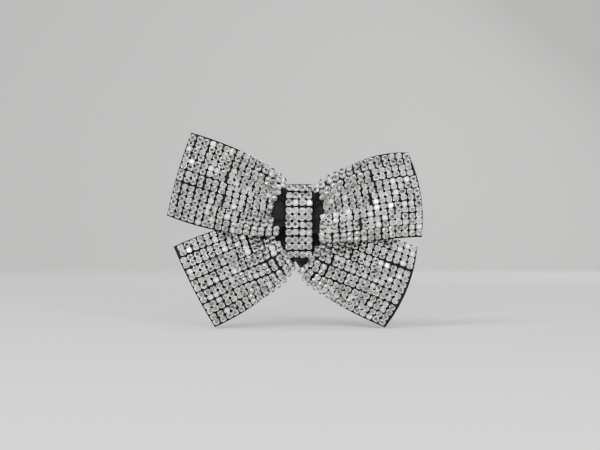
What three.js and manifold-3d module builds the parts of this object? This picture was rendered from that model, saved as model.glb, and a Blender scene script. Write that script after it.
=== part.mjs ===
import * as THREE from 'three';
import Module from 'manifold-3d';
import { mergeVertices } from 'three/addons/utils/BufferGeometryUtils.js';

// Everything is in millimetres. +X is the viewer's right, +Z is up, the front faces -Y.

// ---- crystal banding and ribbon: the driving sizes ----
const STRIP_COUNT = 7;
const STRIP_PITCH = 4.5;
const RIBBON_WIDTH = STRIP_COUNT * STRIP_PITCH;
const STRIP_GAP = 0.3;
const STRIP_BASE_WIDTH = STRIP_PITCH - STRIP_GAP;
const STRIP_HEIGHT = 1.7;
const STRIP_TAPER = 0.8 * STRIP_HEIGHT;
const GLUE_GAP = 0.22;
const RIBBON_THICKNESS = 0.5;
const RIBBON_MARGIN = 0.45;
const FOLD_LIMIT = 1.15;
const LOBE_STEPS = 14;
const BACK_NARROWING = 0.36;
const LOBE_LENGTH = 44;
const LOBE_LENGTH_DRAWN = 44;

// ---- knot ----
const KNOT_CENTRE = 0.7;
const KNOT_WIDTH = 2 * STRIP_PITCH + 1;
const KNOT_TOP = 16.7;
const KNOT_HEIGHT = 29.1;
const KNOT_HEIGHT_DRAWN = 29.1;
const KNOT_THICKNESS = 0.8;
const KNOT_SIDE_GAP = 0.5;
const KNOT_BOTTOM = KNOT_TOP - KNOT_HEIGHT;
const KNOT_LEFT = KNOT_CENTRE - KNOT_WIDTH / 2;
const KNOT_RIGHT = KNOT_CENTRE + KNOT_WIDTH / 2;

// ---- depths, front is negative ----
const PAD_THICKNESS = 1.2;
const PAD_CLEARANCE = 0.65;
const LAYER_CLEARANCE = 0.13;
const TAIL_LIFT = 0.7;
const LOOP_DEPTH = 4.3;
const KNOT_PROUD = 1.6;
const LOWER_LAYER = -(PAD_THICKNESS + PAD_CLEARANCE + RIBBON_THICKNESS / 2);
const TAIL_FACE = LOWER_LAYER - TAIL_LIFT - RIBBON_THICKNESS / 2 - GLUE_GAP - STRIP_HEIGHT;
const LOOP_BACK_LAYER = TAIL_FACE - LAYER_CLEARANCE - RIBBON_THICKNESS / 2;
const LOOP_FRONT_OUTER = LOOP_BACK_LAYER - 0.56 * LOOP_DEPTH;
const LOOP_FRONT_MIDDLE = LOOP_BACK_LAYER - LOOP_DEPTH;
const LOOP_FRONT_INNER = LOOP_BACK_LAYER - 0.63 * LOOP_DEPTH;
const KNOT_BACK = LOWER_LAYER;
const KNOT_FRONT = LOOP_FRONT_MIDDLE - KNOT_PROUD;

// ---- pin finding ----
const BAR_LENGTH = 36;
const BAR_WIDTH = 5;
const BAR_THICKNESS = 0.7;
const BAR_HEIGHT_Z = 6;
const PAD_MARGIN = 4.5;
const SEAT_GAP = 0.3;
const STEM_RADIUS = 0.45;
const HOUSING_OUTER = 2.2;
const HOUSING_WALL = 0.5;
const ROLLER_CLEARANCE = 0.25;
const STEM_BORE_GAP = 0.4;
const SLOT_WIDTH = 1.5;
const HOUSING_LENGTH = 3.2;
const EAR_THICKNESS = 0.6;
const EAR_SPACING = 2.2;
const HINGE_INSET = 3.0;
const CATCH_INSET = 4.0;
const RIVET_RADIUS = 0.5;
const RUNNING_GAP = 0.2;

const BAR_FRONT = SEAT_GAP;
const BAR_REAR = BAR_FRONT + BAR_THICKNESS;
const PIN_AXIS_Y = BAR_REAR + SEAT_GAP + HOUSING_OUTER;
const HINGE_X = -BAR_LENGTH / 2 + HINGE_INSET;
const CATCH_X = BAR_LENGTH / 2 - CATCH_INSET;

const wasm = await Module();
wasm.setup();

// ---------------------------------------------------------------- materials
function satin(color) {
  return new THREE.MeshStandardMaterial({ color, roughness: 0.75, metalness: 0 });
}

function feltMaterial() {
  return new THREE.MeshStandardMaterial({ color: 0x16161a, roughness: 0.98, metalness: 0 });
}

function crystalMaterial() {
  return new THREE.MeshStandardMaterial({ color: 0xdadade, roughness: 0.18, metalness: 0.55 });
}

function nickelMaterial() {
  return new THREE.MeshStandardMaterial({ color: 0xb9bbbd, roughness: 0.3, metalness: 1 });
}

function threadMaterial() {
  return new THREE.MeshStandardMaterial({ color: 0x1d1d22, roughness: 0.9, metalness: 0 });
}

// ---------------------------------------------------------------- closed shapes
// Joins equal rings of points into one closed skin. Open ends are closed like a ladder.
function loft(rings, endless = false) {
  const count = rings[0].length;
  const positions = rings.flat().flatMap((point) => [point.x, point.y, point.z]);
  const index = [];
  const quad = (a, b, c, d) => index.push(a, b, c, a, c, d);
  const last = endless ? rings.length : rings.length - 1;
  for (let i = 0; i < last; i += 1) {
    const here = i * count;
    const next = ((i + 1) % rings.length) * count;
    for (let j = 0; j < count; j += 1) {
      const k = (j + 1) % count;
      quad(here + j, here + k, next + k, next + j);
    }
  }
  if (!endless) {
    const end = (rings.length - 1) * count;
    for (let j = 0; j < count / 2 - 1; j += 1) {
      const mate = count - 1 - j;
      quad(j, mate, mate - 1, j + 1);
      quad(end + j, end + j + 1, end + mate - 1, end + mate);
    }
  }
  const geometry = new THREE.BufferGeometry();
  geometry.setAttribute('position', new THREE.Float32BufferAttribute(positions, 3));
  geometry.setIndex(index);
  return facingOut(geometry);
}

function signedVolume(geometry) {
  const position = geometry.getAttribute('position');
  const index = geometry.getIndex();
  const corner = (i) => new THREE.Vector3().fromBufferAttribute(position, index.getX(i));
  let total = 0;
  for (let i = 0; i < index.count; i += 3) {
    total += corner(i).dot(corner(i + 1).cross(corner(i + 2)));
  }
  return total / 6;
}

function facingOut(geometry) {
  if (signedVolume(geometry) < 0) {
    geometry.setIndex(Array.from(geometry.getIndex().array).reverse());
  }
  geometry.computeVertexNormals();
  return geometry;
}

// A round wire through the given points, closed at both ends. Radii may taper.
function wire(points, radii, sides = 8) {
  const rings = [];
  let across = null;
  points.forEach((point, i) => {
    const before = points[Math.max(0, i - 1)];
    const after = points[Math.min(points.length - 1, i + 1)];
    const along = after.clone().sub(before).normalize();
    const helper = across ?? (Math.abs(along.z) < 0.9
      ? new THREE.Vector3(0, 0, 1)
      : new THREE.Vector3(1, 0, 0));
    across = helper.clone().addScaledVector(along, -helper.dot(along)).normalize();
    const up = along.clone().cross(across);
    const ring = [];
    for (let s = 0; s < sides; s += 1) {
      const angle = (2 * Math.PI * s) / sides;
      ring.push(point.clone()
        .addScaledVector(across, radii[i] * Math.cos(angle))
        .addScaledVector(up, radii[i] * Math.sin(angle)));
    }
    rings.push(ring);
  });
  return loft(rings);
}

function toManifold(geometry) {
  const bare = geometry.clone();
  bare.deleteAttribute('normal');
  bare.deleteAttribute('uv');
  const merged = mergeVertices(bare, 1e-4);
  return new wasm.Manifold(new wasm.Mesh({
    numProp: 3,
    vertProperties: new Float32Array(merged.getAttribute('position').array),
    triVerts: new Uint32Array(merged.getIndex().array),
  }));
}

function fromManifold(solid) {
  const mesh = solid.getMesh();
  const geometry = new THREE.BufferGeometry();
  geometry.setAttribute('position', new THREE.BufferAttribute(new Float32Array(mesh.vertProperties), 3));
  geometry.setIndex(new THREE.BufferAttribute(new Uint32Array(mesh.triVerts), 1));
  geometry.computeVertexNormals();
  return geometry;
}

function block(x, y, z, cx, cy, cz) {
  return toManifold(new THREE.BoxGeometry(x, y, z).translate(cx, cy, cz));
}

// A cylinder along one axis: 'x', 'y' or 'z'.
function rod(axis, radius, length, cx, cy, cz, sides = 20) {
  const geometry = new THREE.CylinderGeometry(radius, radius, length, sides);
  if (axis === 'x') {
    geometry.rotateZ(Math.PI / 2);
  }
  if (axis === 'z') {
    geometry.rotateX(Math.PI / 2);
  }
  return toManifold(geometry.translate(cx, cy, cz));
}

function part(name, geometry, material) {
  const mesh = new THREE.Mesh(geometry, material);
  mesh.name = name;
  return mesh;
}

// ---------------------------------------------------------------- bow surfaces
function bezier(corners, t) {
  const [a, b, c, d] = corners;
  const s = 1 - t;
  const weights = [s * s * s, 3 * s * s * t, 3 * s * t * t, t * t * t];
  const mix = (i) => weights[0] * a[i] + weights[1] * b[i] + weights[2] * c[i] + weights[3] * d[i];
  return new THREE.Vector2(mix(0), mix(1));
}

// Three values blended smoothly: outer end, middle, inner end.
function through(outer, middle, inner, u) {
  const s = 1 - u;
  const pull = 2 * middle - (outer + inner) / 2;
  return s * s * outer + 2 * s * u * pull + u * u * inner;
}

// The fold angle that gathers the full ribbon width into the width of the outline here.
function foldAngle(lobe, width, u) {
  const limit = FOLD_LIMIT * Math.min(1, (1.3 - u) / 0.45);
  let low = 0;
  let high = limit;
  const gathered = (angle) => facetAngles(lobe, angle)
    .reduce((sum, tilt) => sum + STRIP_PITCH * Math.cos(tilt), 0);
  for (let pass = 0; pass < 30; pass += 1) {
    const middle = (low + high) / 2;
    if (gathered(middle) > width) {
      low = middle;
    } else {
      high = middle;
    }
  }
  return (low + high) / 2;
}

function facetAngles(lobe, angle) {
  return lobe.folds.map((fold, k) => {
    const across = (2 * (k + 0.5)) / STRIP_COUNT - 1;
    return lobe.arch * across + fold * angle;
  });
}

// The eight crease lines of a lobe, each taken as far along as its own reach allows.
function creases(lobe, u) {
  return lobe.reach.map((reach, k) => station(lobe, u * reach)[k]);
}

function station(lobe, u) {
  const top = bezier(lobe.top, u);
  const bottom = bezier(lobe.bottom, u);
  const across = bottom.clone().sub(top);
  const width = across.length();
  across.normalize();
  const outward = new THREE.Vector2(across.y, -across.x).multiplyScalar(lobe.side);
  const tilts = facetAngles(lobe, foldAngle(lobe, width, u));
  const spans = tilts.map((tilt) => STRIP_PITCH * Math.cos(tilt));
  const stretch = width / spans.reduce((sum, span) => sum + span, 0);
  const depth = through(...lobe.depth, u);
  let reach = 0;
  let y = depth;
  const lines = [];
  for (let k = 0; k <= STRIP_COUNT; k += 1) {
    const v = k / STRIP_COUNT;
    const bow = lobe.bow * 4 * v * (1 - v) * (1 - u) * (1 - u);
    lines.push(new THREE.Vector3(
      top.x + across.x * reach + outward.x * bow,
      y,
      top.y + across.y * reach + outward.y * bow,
    ));
    if (k < STRIP_COUNT) {
      reach += spans[k] * stretch;
      y += STRIP_PITCH * Math.sin(tilts[k]);
    }
  }
  return lines;
}

// The two edges of a lobe as curves. Points are [outward from the side of the knot, height];
// the lower edge follows from the upper one and from the ribbon's width.
function outline({ side, top, across, topRoot, bottomRoot }) {
  const root = side > 0 ? KNOT_LEFT - KNOT_SIDE_GAP : KNOT_RIGHT + KNOT_SIDE_GAP;
  const stretch = LOBE_LENGTH / LOBE_LENGTH_DRAWN;
  const place = ([out, z]) => [root - side * out, z];
  const scaled = top.map(([out, z]) => [out * stretch, z]);
  const lower = scaled.map(([out, z], i) => [
    out + across[i][0] * RIBBON_WIDTH,
    z + across[i][1] * RIBBON_WIDTH,
  ]);
  return {
    top: [...scaled, topRoot].map(place),
    bottom: [...lower, bottomRoot].map(place),
  };
}

// The heights of a tail's upper edge hang from the lower edge of the loop in front of it.
function hangBelow(loop, points) {
  return points.map(([out, drop], i) => [out, loop.bottom[i][1] - drop]);
}

// Reach of each crease of a tail, from the share of its drawn length by which it stops short
// of the knot. A longer lobe keeps the same room there, and a taller knot takes more.
function stopShort(shares) {
  const room = (LOBE_LENGTH_DRAWN / LOBE_LENGTH) * (KNOT_HEIGHT / KNOT_HEIGHT_DRAWN) ** 1.5;
  return shares.map((share) => 1 - share * room);
}

function loopLobe(name, side, edges, details) {
  return {
    name,
    side,
    ...outline({ side, ...edges }),
    folds: [-1, 0.86, 0.45, 0, -0.45, -0.86, 1],
    arch: 0.16,
    reach: [1, 1, 1, 1, 1, 1, 1, 1],
    depth: [LOOP_FRONT_OUTER, LOOP_FRONT_MIDDLE, LOOP_FRONT_INNER],
    ...details,
  };
}

function tailLobe(name, side, edges, details) {
  return {
    name,
    side,
    ...outline({ side, ...edges }),
    folds: [0, -0.3, -0.6, -0.45, 0.1, 0.6, 0.95],
    arch: 0.2,
    depth: [LOWER_LAYER - TAIL_LIFT, LOWER_LAYER, LOWER_LAYER - 1.1],
    ...details,
  };
}

const UPPER_LEFT = loopLobe('upper_left', 1, {
  top: [[35.1, 35.6], [23.2, 31.9], [7.2, 26.4]],
  across: [[0.283, -0.971], [0.222, -1.025], [0.317, -0.946]],
  topRoot: [0, KNOT_TOP - 0.7],
  bottomRoot: [0, -0.8],
}, {
  bow: 0.5,
  starts: [0.05, 0.05, 0.05, 0.05, 0.05, 0.05, 0.05],
  ends: [0.97, 0.96, 0.92, 0.88, 0.88, 0.91, 0.95],
});

const UPPER_RIGHT = loopLobe('upper_right', -1, {
  top: [[35.6, 28.1], [25.8, 28.6], [13.8, 25.2]],
  across: [[0.162, -0.987], [0.19, -1.003], [0.063, -0.99]],
  topRoot: [0, KNOT_TOP - 2.7],
  bottomRoot: [0, -3.4],
}, {
  bow: 2.0,
  starts: [0.4, 0.8, 0.3, 0.05, 0.05, 0.05, 0.05],
  ends: [0.97, 0.95, 0.92, 0.91, 0.94, 0.95, 0.95],
});

const LOWER_LEFT = tailLobe('lower_left', 1, {
  top: hangBelow(UPPER_LEFT, [[42.2, 12.6], [32.0, 2.4], [17.2, -5.8]]),
  across: [[-0.486, -0.949], [-0.444, -0.978], [-0.444, -0.876]],
  topRoot: [0, 5],
  bottomRoot: [-3.1, KNOT_BOTTOM - 1.2],
}, {
  bow: 0.6,
  reach: stopShort([0, 0.02, 0.04, 0.04, 0.04, 0.02, 0, 0]),
  starts: [1.3, 0.5, 0.4, 0.4, 0.4, 0.4, 0.4],
  ends: [0.62, 0.8, 0.93, 0.96, 0.97, 0.97, 0.98],
});

const LOWER_RIGHT = tailLobe('lower_right', -1, {
  top: hangBelow(UPPER_RIGHT, [[39.7, 4.9], [30.2, 0.8], [15.8, -6.8]]),
  across: [[-0.381, -0.943], [-0.425, -0.933], [-0.52, -0.819]],
  topRoot: [-0.8, 3.5],
  bottomRoot: [-5, KNOT_BOTTOM - 2.5],
}, {
  bow: 2.2,
  reach: stopShort([0.03, 0.04, 0.05, 0.07, 0.09, 0.1, 0.07, 0]),
  starts: [0.5, 0.6, 1.0, 1.1, 1.1, 1.1, 1.1],
  ends: [0.6, 0.82, 0.93, 0.96, 0.97, 0.97, 0.98],
});

function stations(from, to, steps) {
  return Array.from({ length: steps + 1 }, (unused, i) => from + ((to - from) * i) / steps);
}

// Adds the thickness of the cloth to a grid of points on its middle plane. A negative
// thickness splits the quads along the other diagonal, the one the banding strips use.
function thicken(grid, thickness) {
  const normalAt = (i, j) => {
    const along = grid[Math.min(i + 1, grid.length - 1)][j].clone()
      .sub(grid[Math.max(i - 1, 0)][j]);
    const across = grid[i][Math.min(j + 1, grid[i].length - 1)].clone()
      .sub(grid[i][Math.max(j - 1, 0)]);
    return along.cross(across).normalize();
  };
  const rings = grid.map((row, i) => {
    const front = row.map((point, j) => point.clone().addScaledVector(normalAt(i, j), thickness / 2));
    const back = row.map((point, j) => point.clone().addScaledVector(normalAt(i, j), -thickness / 2));
    return [...front, ...back.reverse()];
  });
  return loft(rings);
}

// The crease lines with the narrow ribbon margin added along both edges.
function withMargins(lines) {
  const first = lines[0].clone().addScaledVector(
    lines[0].clone().sub(lines[1]).normalize(),
    RIBBON_MARGIN,
  );
  const end = lines[lines.length - 1];
  const last = end.clone().addScaledVector(
    end.clone().sub(lines[lines.length - 2]).normalize(),
    RIBBON_MARGIN,
  );
  return [first, ...lines, last];
}

function tailRibbon(lobe) {
  const grid = stations(0, 1, LOBE_STEPS).map((u) => withMargins(creases(lobe, u)));
  return thicken(grid, -lobe.side * RIBBON_THICKNESS);
}

// A folded loop: front layer, round fold at the outer end, plain layer behind.
function loopRibbon(lobe) {
  const front = stations(1, 0, LOBE_STEPS).map((u) => withMargins(creases(lobe, u)));
  const outer = front[front.length - 1];
  const fold = stations(0.2, 0.8, 3).map((turn) => outer.map((point) => {
    const radius = (LOOP_BACK_LAYER - point.y) / 2;
    const angle = Math.PI * turn;
    return new THREE.Vector3(
      point.x - lobe.side * radius * 0.25 * Math.sin(angle),
      point.y + radius * (1 - Math.cos(angle)),
      point.z,
    );
  }));
  const back = stations(0, 1, LOBE_STEPS - 4).map((u) => {
    const lines = withMargins(creases(lobe, u));
    const narrow = BACK_NARROWING * THREE.MathUtils.smoothstep(u, 0.05, 0.6);
    return lines.map((point) => {
      const plain = point.clone().lerp(lines[0], narrow);
      plain.y = LOOP_BACK_LAYER;
      return plain;
    });
  });
  return thicken([...front, ...fold, ...back], -lobe.side * RIBBON_THICKNESS);
}

// One two-row strip of banding: a low bar with a narrower top lying on its facet.
function bandingStrip(lobe, k) {
  const rough = stations(0, 1, 60).map((u) => creases(lobe, u));
  const centre = (lines) => lines[k].clone().add(lines[k + 1]).multiplyScalar(0.5);
  let run = 0;
  let start = 0;
  for (let i = 1; i < rough.length && run < lobe.starts[k]; i += 1) {
    run += centre(rough[i]).distanceTo(centre(rough[i - 1]));
    start = i / 60;
  }
  const shared = stations(0, 1, LOBE_STEPS)
    .filter((u) => u > start + 0.02 && u < lobe.ends[k] - 0.02);
  const us = [start, ...shared, lobe.ends[k]];
  const rows = us.map((u) => creases(lobe, u));
  return loft(rows.map((lines, i) => {
    const along = centre(rows[Math.min(i + 1, rows.length - 1)]).sub(centre(rows[Math.max(i - 1, 0)]));
    const across = lines[k + 1].clone().sub(lines[k]).normalize();
    const out = along.cross(across).normalize();
    if (out.y > 0) {
      out.negate();
    }
    const low = RIBBON_THICKNESS / 2 + GLUE_GAP;
    const high = low + STRIP_HEIGHT;
    const room = lines[k].distanceTo(lines[k + 1]) - STRIP_GAP;
    const base = Math.min(STRIP_BASE_WIDTH, room) / 2;
    const top = base - STRIP_TAPER / 2;
    const at = (half, lift) => centre(lines).addScaledVector(across, half).addScaledVector(out, lift);
    return [at(-base, low), at(base, low), at(top, high), at(-top, high)];
  }));
}

// ---------------------------------------------------------------- knot
// [share of the depth from back to front, share of the height from the bottom]
const KNOT_PATH = [
  [1, 0.51], [0.934, 0.742], [0.736, 0.926], [0.385, 1], [0.088, 0.94], [0, 0.795],
  [0, 0.512], [0, 0.194], [0.077, 0.064], [0.385, 0], [0.736, 0.057], [0.934, 0.247],
];

function knotEdges(z) {
  const low = (KNOT_BOTTOM + 8.9 - z) / 8.5;
  const taper = THREE.MathUtils.smoothstep(low, 0, 1);
  return {
    left: KNOT_LEFT + 3.1 * taper,
    right: KNOT_RIGHT - 0.7 * taper,
  };
}

const KNOT_MIDDLE = new THREE.Vector3(
  0,
  (KNOT_FRONT + KNOT_BACK) / 2,
  KNOT_TOP - KNOT_HEIGHT / 2,
);

function knotCurve() {
  const lowest = KNOT_BOTTOM + KNOT_THICKNESS / 2;
  const height = KNOT_HEIGHT - KNOT_THICKNESS;
  const points = KNOT_PATH.map(([depth, rise]) => new THREE.Vector3(
    0,
    KNOT_BACK + (KNOT_FRONT - KNOT_BACK) * depth,
    lowest + height * rise,
  ));
  return new THREE.CatmullRomCurve3(points, true, 'centripetal');
}

function knotBand() {
  const curve = knotCurve();
  const rings = stations(0, 1, 32).slice(0, -1).map((t) => {
    const point = curve.getPoint(t);
    const along = curve.getTangent(t);
    const out = new THREE.Vector3(0, -along.z, along.y);
    if (out.dot(point.clone().sub(KNOT_MIDDLE)) < 0) {
      out.negate();
    }
    const { left, right } = knotEdges(point.z);
    const at = (x, lift) => new THREE.Vector3(x, point.y, point.z).addScaledVector(out, lift);
    return [
      at(left, -KNOT_THICKNESS / 2),
      at(right, -KNOT_THICKNESS / 2),
      at(right, KNOT_THICKNESS / 2),
      at(left, KNOT_THICKNESS / 2),
    ];
  });
  return loft(rings, true);
}

function knotStrip(column) {
  const curve = knotCurve();
  const from = column === 0 ? -0.16 : -0.205;
  const rings = stations(from, 0.215, 14).map((t) => {
    const turn = (t + 1) % 1;
    const point = curve.getPoint(turn);
    const along = curve.getTangent(turn);
    const out = new THREE.Vector3(0, -along.z, along.y);
    if (out.dot(point.clone().sub(KNOT_MIDDLE)) < 0) {
      out.negate();
    }
    const { left, right } = knotEdges(point.z);
    const half = (right - left) / 2;
    const inner = left + half * column + (column === 0 ? 0.25 : 0.15);
    const outer = left + half * (column + 1) - (column === 0 ? 0.15 : 0.25);
    const low = KNOT_THICKNESS / 2 + GLUE_GAP;
    const high = low + STRIP_HEIGHT;
    const at = (x, lift) => new THREE.Vector3(x, point.y, point.z).addScaledVector(out, lift);
    return [at(inner, low), at(outer, low), at(outer - 0.35, high), at(inner + 0.35, high)];
  });
  return loft(rings);
}

// The gathered cloth inside the knot and the thread wound round it.
// The knot's own path drawn in towards its middle.
function waistRing(scaleY, scaleZ) {
  const points = knotCurve().getPoints(24).slice(0, -1);
  const scale = new THREE.Vector3(1, scaleY, scaleZ);
  return points.map((point) => point.sub(KNOT_MIDDLE).multiply(scale).add(KNOT_MIDDLE));
}

function waistCore() {
  const side = KNOT_WIDTH / 2 - 1.75;
  const stationsX = [[-side, 0.86], [1 - side, 1], [side - 1, 1], [side, 0.86]];
  const rings = stationsX.map(([x, size]) => waistRing(0.56 * size, 0.76 * size)
    .map((point) => point.setX(KNOT_CENTRE + x)));
  return loft(rings);
}

function waistThread() {
  const rings = waistRing(0.72, 0.86).map((point) => {
    const away = point.clone().sub(KNOT_MIDDLE);
    const out = new THREE.Vector3(0, away.y * 2.2, away.z).normalize();
    const at = (x, lift) => point.clone().setX(KNOT_CENTRE + x).addScaledVector(out, lift);
    return [at(-1.6, -0.3), at(1.6, -0.3), at(1.6, 0.3), at(-1.6, 0.3)];
  });
  return loft(rings, true);
}

// ---------------------------------------------------------------- back
function feltPad() {
  const half = BAR_LENGTH / 2 + PAD_MARGIN;
  const edge = BAR_WIDTH / 2 + 1;
  const bands = [-9, BAR_HEIGHT_Z - edge, BAR_HEIGHT_Z + edge, BAR_HEIGHT_Z + edge + 2.5];
  const rings = stations(-1, 1, 15).map((t) => {
    const x = half * Math.sin((Math.PI / 2) * t);
    const squeeze = Math.sqrt(Math.max(0, 1 - Math.abs(x / half) ** 6)) * 0.75 + 0.25;
    const middle = (bands[0] + bands[3]) / 2;
    const z = (value) => middle + (value - middle) * squeeze;
    const front = bands.map((value) => new THREE.Vector3(x, -PAD_THICKNESS, z(value)));
    const rear = bands.map((value) => new THREE.Vector3(x, 0, z(value)));
    return [...front, ...rear.reverse()];
  });
  return loft(rings);
}

const STITCH_HOLES = [-0.32, -0.11, 0.11, 0.26].map((share) => share * BAR_LENGTH);
const HOLE_RADIUS = 0.75;

function pinBar() {
  const straight = BAR_LENGTH - BAR_WIDTH;
  const y = BAR_FRONT + BAR_THICKNESS / 2;
  let bar = block(straight, BAR_THICKNESS, BAR_WIDTH, 0, y, BAR_HEIGHT_Z);
  [-1, 1].forEach((end) => {
    const x = (end * straight) / 2;
    bar = bar.add(rod('y', BAR_WIDTH / 2, BAR_THICKNESS, x, y, BAR_HEIGHT_Z, 24));
  });
  STITCH_HOLES.forEach((x) => {
    bar = bar.subtract(rod('y', HOLE_RADIUS, 3, x, BAR_REAR, BAR_HEIGHT_Z, 14));
  });
  const earTop = PIN_AXIS_Y - BAR_FRONT;
  [-1, 1].forEach((side) => {
    const z = BAR_HEIGHT_Z + side * (EAR_SPACING / 2 + EAR_THICKNESS / 2);
    const foot = block(2.8, earTop, EAR_THICKNESS, HINGE_X, BAR_FRONT + earTop / 2, z);
    const round = rod('z', 1.4, EAR_THICKNESS, HINGE_X, PIN_AXIS_Y, z, 20);
    bar = bar.add(foot).add(round);
  });
  bar = bar.subtract(rod('z', RIVET_RADIUS + RUNNING_GAP, 8, HINGE_X, PIN_AXIS_Y, BAR_HEIGHT_Z, 14));
  return fromManifold(bar);
}

function hingeRivet() {
  const headGap = 0.15;
  const reach = EAR_SPACING / 2 + EAR_THICKNESS + headGap;
  const headRadius = 1.05;
  const headHeight = 0.45;
  const profile = [
    [0, -reach - headHeight], [headRadius * 0.7, -reach - headHeight],
    [headRadius, -reach - headHeight * 0.4],
    [headRadius, -reach], [RIVET_RADIUS, -reach], [RIVET_RADIUS, reach], [headRadius, reach],
    [headRadius, reach + headHeight * 0.4], [headRadius * 0.7, reach + headHeight], [0, reach + headHeight],
  ];
  const points = profile.map(([r, h]) => new THREE.Vector2(r, h));
  const solid = toManifold(new THREE.LatheGeometry(points, 16).rotateX(Math.PI / 2)
    .translate(HINGE_X, PIN_AXIS_Y, BAR_HEIGHT_Z));
  return fromManifold(solid);
}

function pinStem() {
  const eyeOuter = 1.45;
  const eyeHeight = EAR_SPACING - 2 * RUNNING_GAP;
  const tip = CATCH_X + HOUSING_LENGTH / 2 + 3.2;
  const xs = [HINGE_X + 1.0, tip - 4.5, tip - 2, tip];
  const radii = [STEM_RADIUS, STEM_RADIUS, STEM_RADIUS * 0.62, 0.08];
  const shaft = wire(xs.map((x) => new THREE.Vector3(x, PIN_AXIS_Y, BAR_HEIGHT_Z)), radii, 10);
  const solid = toManifold(shaft)
    .add(rod('z', eyeOuter, eyeHeight, HINGE_X, PIN_AXIS_Y, BAR_HEIGHT_Z, 20))
    .subtract(rod('z', RIVET_RADIUS + RUNNING_GAP, 6, HINGE_X, PIN_AXIS_Y, BAR_HEIGHT_Z, 16));
  return fromManifold(solid);
}

function catchTube(outer, inner, length, x, slot) {
  return rod('x', outer, length, x, PIN_AXIS_Y, BAR_HEIGHT_Z, 28)
    .subtract(rod('x', inner, length + 2, x, PIN_AXIS_Y, BAR_HEIGHT_Z, 24))
    .subtract(block(length + 2, outer + 1, slot, x, PIN_AXIS_Y + (outer + 1) / 2, BAR_HEIGHT_Z));
}

function catchHousing() {
  const inner = HOUSING_OUTER - HOUSING_WALL;
  const foot = block(HOUSING_LENGTH, 0.9, 2.6, CATCH_X, BAR_REAR + SEAT_GAP - 0.15 + 0.45, BAR_HEIGHT_Z)
    .subtract(rod('x', inner + 0.05, HOUSING_LENGTH + 2, CATCH_X, PIN_AXIS_Y, BAR_HEIGHT_Z, 28));
  return fromManifold(catchTube(HOUSING_OUTER, inner, HOUSING_LENGTH, CATCH_X, SLOT_WIDTH + 0.2).add(foot));
}

function catchRoller() {
  const outer = HOUSING_OUTER - HOUSING_WALL - ROLLER_CLEARANCE;
  const inner = STEM_RADIUS + STEM_BORE_GAP;
  const collar = 0.9;
  const x = CATCH_X + HOUSING_LENGTH / 2 + SEAT_GAP + collar / 2;
  const length = HOUSING_LENGTH + SEAT_GAP + 2 * collar;
  const body = rod('x', outer, length, CATCH_X + SEAT_GAP / 2, PIN_AXIS_Y, BAR_HEIGHT_Z, 24)
    .add(rod('x', HOUSING_OUTER - 0.15, collar, x, PIN_AXIS_Y, BAR_HEIGHT_Z, 28))
    .add(block(collar, 2.6, 0.9, x, PIN_AXIS_Y + 1.1, BAR_HEIGHT_Z - HOUSING_OUTER + 0.75));
  return fromManifold(body
    .subtract(rod('x', inner, length + 4, CATCH_X, PIN_AXIS_Y, BAR_HEIGHT_Z, 20))
    .subtract(block(length + 4, 5, SLOT_WIDTH, CATCH_X, PIN_AXIS_Y + 2.5, BAR_HEIGHT_Z)));
}

function barStitch(x) {
  const radius = 0.26;
  const foot = 0.1 + radius * 0.4;
  const top = BAR_REAR + radius + 0.2;
  const outside = BAR_HEIGHT_Z + BAR_WIDTH / 2 + radius + 0.3;
  const side = [
    [foot, BAR_HEIGHT_Z], [BAR_REAR - 0.1, BAR_HEIGHT_Z + 0.02], [top - 0.1, BAR_HEIGHT_Z + 0.2],
    [top + 0.1, BAR_HEIGHT_Z + 0.9], [top + 0.1, outside - 0.9], [top - 0.1, outside - 0.2],
    [BAR_REAR - 0.1, outside], [foot, outside],
  ];
  const points = side.map(([y, z]) => new THREE.Vector3(x, y, z));
  return wire(points, points.map(() => radius), 8);
}

// ---------------------------------------------------------------- assembly
function lobeGroup(lobe, ribbon) {
  const group = new THREE.Group();
  group.add(part(`ribbon_${lobe.name}`, ribbon, satin(0x1b1c22)));
  for (let k = 0; k < STRIP_COUNT; k += 1) {
    group.add(part(`crystals_${lobe.name}_${k + 1}`, bandingStrip(lobe, k), crystalMaterial()));
  }
  return group;
}

function knotGroup() {
  const group = new THREE.Group();
  group.add(part('knot_band', knotBand(), satin(0x1b1c22)));
  group.add(part('crystals_knot_left', knotStrip(0), crystalMaterial()));
  group.add(part('crystals_knot_right', knotStrip(1), crystalMaterial()));
  group.add(part('waist_core', waistCore(), satin(0x15161b)));
  group.add(part('waist_thread', waistThread(), threadMaterial()));
  return group;
}

function backGroup() {
  const group = new THREE.Group();
  group.add(part('felt_pad', feltPad(), feltMaterial()));
  group.add(part('pin_bar', pinBar(), nickelMaterial()));
  group.add(part('hinge_rivet', hingeRivet(), nickelMaterial()));
  group.add(part('pin_stem', pinStem(), nickelMaterial()));
  group.add(part('catch_housing', catchHousing(), nickelMaterial()));
  group.add(part('catch_roller', catchRoller(), nickelMaterial()));
  STITCH_HOLES.forEach((x, i) => {
    group.add(part(`bar_stitch_${i + 1}`, barStitch(x), threadMaterial()));
  });
  return group;
}

const brooch = new THREE.Group();
brooch.name = 'brooch';
brooch.add(lobeGroup(UPPER_LEFT, loopRibbon(UPPER_LEFT)));
brooch.add(lobeGroup(UPPER_RIGHT, loopRibbon(UPPER_RIGHT)));
brooch.add(lobeGroup(LOWER_LEFT, tailRibbon(LOWER_LEFT)));
brooch.add(lobeGroup(LOWER_RIGHT, tailRibbon(LOWER_RIGHT)));
brooch.add(knotGroup());
brooch.add(backGroup());

export default brooch;
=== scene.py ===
"""Crystal bow brooch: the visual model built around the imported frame, in metres."""

import logging
import math
import random
from collections.abc import Callable
from dataclasses import dataclass, field
from enum import Enum
from functools import cached_property

import bmesh
import bpy
from mathutils import Matrix, Vector


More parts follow.
